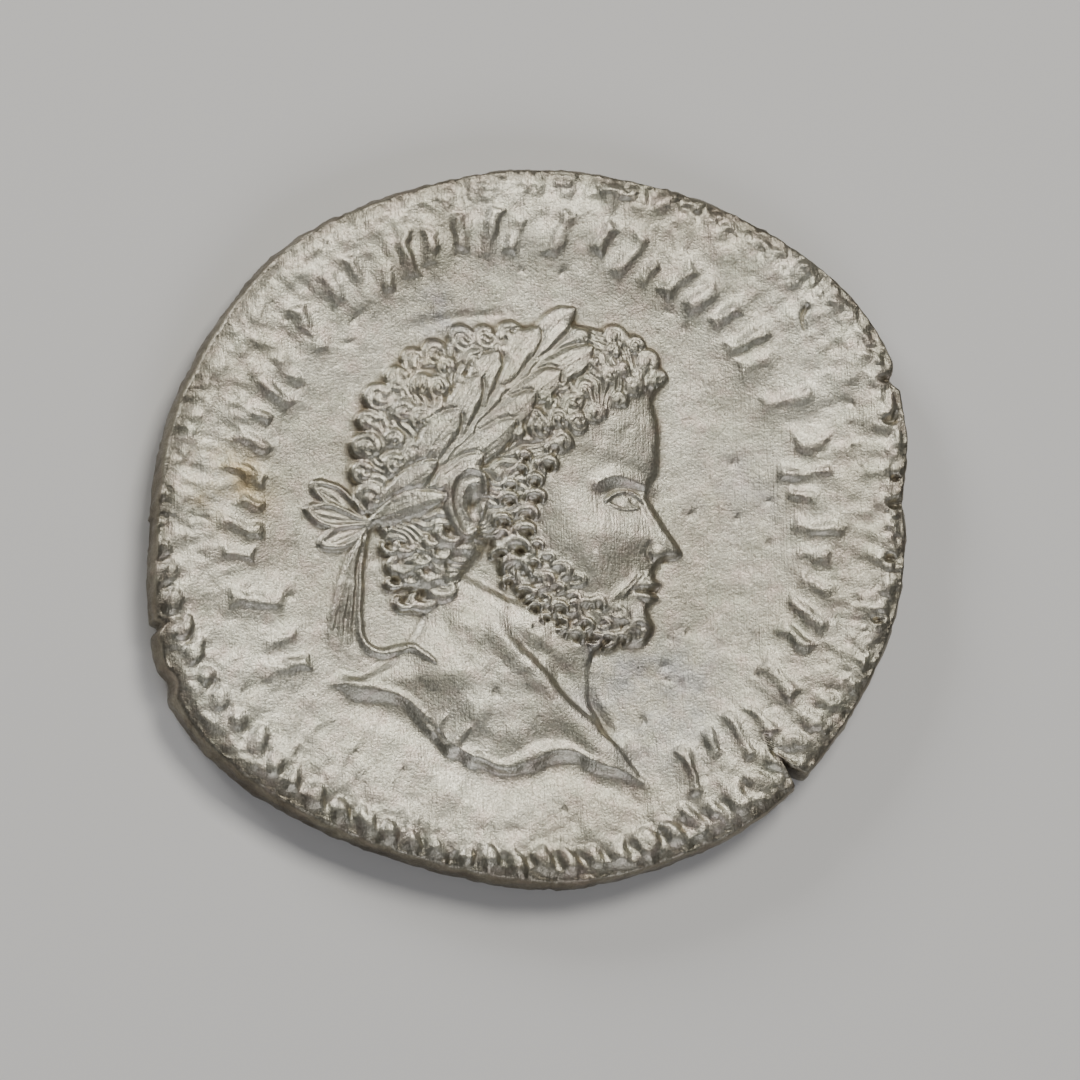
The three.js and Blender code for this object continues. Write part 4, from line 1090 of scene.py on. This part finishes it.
def struck_silver():
    """Silver of a struck coin: bright worn tops, a fine sparkling grain, brown toning in the hollows."""
    material = bpy.data.materials.new("struck silver, worn and toned")
    material.use_nodes = True
    tree = material.node_tree
    tree.nodes.clear()
    place = add(tree, "ShaderNodeTexCoord").outputs["Object"]
    hollow = add(tree, "ShaderNodeAttribute", attribute_name="hollow").outputs["Fac"]
    edge = add(tree, "ShaderNodeAttribute", attribute_name="edge").outputs["Fac"]

    def patches(size, detail, low, high, least, most, roughness=0.5):
        """A share from least to most, by where a noise of this size runs from low to high."""
        noise = add(tree, "ShaderNodeTexNoise", {
            "Vector": place, "Scale": per_metre(size), "Detail": detail, "Roughness": roughness,
        })
        return add(tree, "ShaderNodeMapRange", {
            "Value": noise.outputs["Fac"], "From Min": low, "From Max": high,
            "To Min": least, "To Max": most,
        }).outputs["Result"]

    def coat(under, colour, share, mask=1.0):
        """Lays a colour over what is under it, by a share and where the mask lets it."""
        shown = add(tree, "ShaderNodeMath", {0: share, 1: mask}, operation="MULTIPLY").outputs[0]
        mix = add(tree, "ShaderNodeMix", {0: shown, 6: under, 7: linear(colour)}, data_type="RGBA")
        return mix.outputs[2]

    colour = linear(SILVER_COLOUR)
    for size, detail, low, high, strength, tint in SILVER_TINTS:
        colour = coat(colour, tint, patches(size, detail, low, high, 0.0, strength))
    for (stain_x, stain_y), reach, stain, strength in STAINS:
        centre = (stain_x * MM, stain_y * MM, (WEAR_DEPTH + WEB_THICKNESS) * MM)
        away = add(tree, "ShaderNodeVectorMath", {0: place, 1: centre}, operation="DISTANCE")
        near = add(tree, "ShaderNodeMapRange", {
            "Value": away.outputs["Value"], "From Min": reach * MM, "From Max": 0.3 * reach * MM,
        }).outputs["Result"]
        colour = coat(colour, stain, patches(0.8, 4.0, 0.38, 0.66, 0.0, strength), near)
    deep = add(tree, "ShaderNodeMapRange", {
        "Value": hollow, "From Min": TONING_DEPTHS[0], "From Max": TONING_DEPTHS[1],
    }).outputs["Result"]
    toning = add(tree, "ShaderNodeMath", {
        0: deep, 1: patches(0.35, 3.0, 0.3, 0.7, 0.4, 0.95),
    }, operation="MULTIPLY").outputs[0]
    colour = coat(colour, TONING_COLOUR, toning)
    # Dark brown over the rim and the wall: partly dirt, partly painted shade
    colour = coat(colour, EDGE_DIRT_AND_SHADE_COLOUR, patches(0.8, 6.0, 0.3, 0.7, 0.45, 0.95, 0.65), edge)
    # Toned silver is duller and shines less like metal
    roughness = add(tree, "ShaderNodeMath", {
        0: toning, 1: 0.2, 2: patches(GRAIN[0], GRAIN[1], 0.3, 0.7, 0.3, 0.5, GRAIN[2]),
    }, operation="MULTIPLY_ADD").outputs[0]
    metal = add(tree, "ShaderNodeMapRange", {"Value": toning, "To Min": 1.0, "To Max": 0.55})

    turned = add(tree, "ShaderNodeMapping", {
        "Vector": place, "Rotation": (0, 0, math.radians(HAIRLINE_TURN)), "Scale": (1, 0.06, 1),
    }).outputs["Vector"]
    normal = None
    bumps = [(place, UNEVEN), (turned, HAIRLINES), (place, GRAIN)]
    for vector, (size, detail, rough, strength, depth) in bumps:
        noise = add(tree, "ShaderNodeTexNoise", {
            "Vector": vector, "Scale": per_metre(size), "Detail": detail, "Roughness": rough,
        })
        height = {"Height": noise.outputs["Fac"], "Strength": strength, "Distance": depth * MM}
        under = {} if normal is None else {"Normal": normal}
        normal = add(tree, "ShaderNodeBump", height | under).outputs["Normal"]
    shader = add(tree, "ShaderNodeBsdfPrincipled", {
        "Base Color": colour, "Roughness": roughness, "Metallic": metal.outputs["Result"], "Normal": normal,
    })
    add(tree, "ShaderNodeOutputMaterial", {"Surface": shader.outputs["BSDF"]})
    return material


def pale_paper():
    """Matte pale board that the coin lies on."""
    material = bpy.data.materials.new("pale matte board")
    material.use_nodes = True
    shader = material.node_tree.nodes["Principled BSDF"]
    shader.inputs["Base Color"].default_value = linear("#DEDCD8")
    shader.inputs["Roughness"].default_value = 0.9
    return material


def make_coin():
    """The coin, struck on the fine grid and then thinned, and the middle of the frame's box."""
    mesh = struck_slab()
    middle = strike(mesh)
    coin = placed("coin_struck", mesh)
    whole = len(mesh.polygons) * 2
    thin = coin.modifiers.new("fewer triangles where it is smooth", "DECIMATE")
    thin.ratio = min(1.0, TRIANGLES_KEPT / whole)
    shaped = bpy.data.meshes.new_from_object(coin.evaluated_get(bpy.context.evaluated_depsgraph_get()))
    coin.modifiers.clear()
    coin.data = shaped
    bpy.data.meshes.remove(mesh)
    shaped.shade_smooth()
    shaped.materials.clear()
    shaped.materials.append(struck_silver())
    return coin, middle


# The floor lies a hair under the coin, so that the two don't flicker through each other; its half width
# is in metres
FLOOR_GAP = 0.01
FLOOR_HALF_WIDTH = 0.6


def make_floor():
    bm = bmesh.new()
    bmesh.ops.create_grid(bm, x_segments=1, y_segments=1, size=FLOOR_HALF_WIDTH)
    bmesh.ops.translate(bm, verts=bm.verts[:], vec=(0, 0, -FLOOR_GAP * MM))
    mesh = mesh_from(bm, "floor")
    mesh.materials.append(pale_paper())
    return placed("floor", mesh)


# Camera: nearly straight down, leaned towards the lower left, and far off, with the portrait's top at the
# image's top
CAMERA_LEAN = 18
CAMERA_HEADING = 215
CAMERA_LENS = 1000
SENSOR_WIDTH = 36
VIEW_WIDTH = 27
VIEW_CENTRE = (0.21, -0.34, 0.8)


def make_camera(middle):
    heading = math.radians(CAMERA_HEADING)
    towards = Vector((math.cos(heading), math.sin(heading), 0))
    turn = Matrix.Rotation(math.radians(CAMERA_LEAN), 4, Vector((-towards.y, towards.x, 0)))
    aim = Vector((VIEW_CENTRE[0] - middle[0], VIEW_CENTRE[1] - middle[1], VIEW_CENTRE[2])) * MM
    away = CAMERA_LENS * VIEW_WIDTH / SENSOR_WIDTH * MM
    data = bpy.data.cameras.new("camera")
    data.lens = CAMERA_LENS
    data.sensor_width = SENSOR_WIDTH
    data.clip_start = 0.001
    data.clip_end = 10
    camera = placed("camera", data)
    camera.matrix_world = Matrix.Translation(aim) @ turn @ Matrix.Translation((0, 0, away))
    bpy.context.scene.camera = camera


# Soft studio light from above, the strongest on the side away from the camera: each light's place and width
# and depth in metres, its power in watts and its colour
LIGHTS = {
    "key": ((0.09, 0.17, 0.31), (0.15, 0.12), 0.75, "#FFFDF8"),
    "rim light from the far left": ((-0.2, 0.22, 0.12), (0.1, 0.1), 0.5, "#FFFFFF"),
    "fill from the near side": ((0.06, -0.3, 0.22), (0.25, 0.2), 0.42, "#F4F6FF"),
}
WORLD_COLOUR = "#BFC1C4"
WORLD_STRENGTH = 0.2


def make_lights():
    for name, (place, size, power, colour) in LIGHTS.items():
        data = bpy.data.lights.new(name, "AREA")
        data.shape = "RECTANGLE"
        data.size, data.size_y = size
        data.energy = power
        data.color = linear(colour)[:3]
        light = placed(name, data)
        light.location = place
        light.rotation_euler = (-Vector(place)).to_track_quat("-Z", "Y").to_euler()
    world = bpy.data.worlds.new("studio")
    bpy.context.scene.world = world
    world.use_nodes = True
    background = world.node_tree.nodes["Background"]
    background.inputs["Color"].default_value = linear(WORLD_COLOUR)
    background.inputs["Strength"].default_value = WORLD_STRENGTH


coin, middle = make_coin()
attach(coin, "root")
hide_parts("coin")
make_floor()
make_camera(middle)
make_lights()
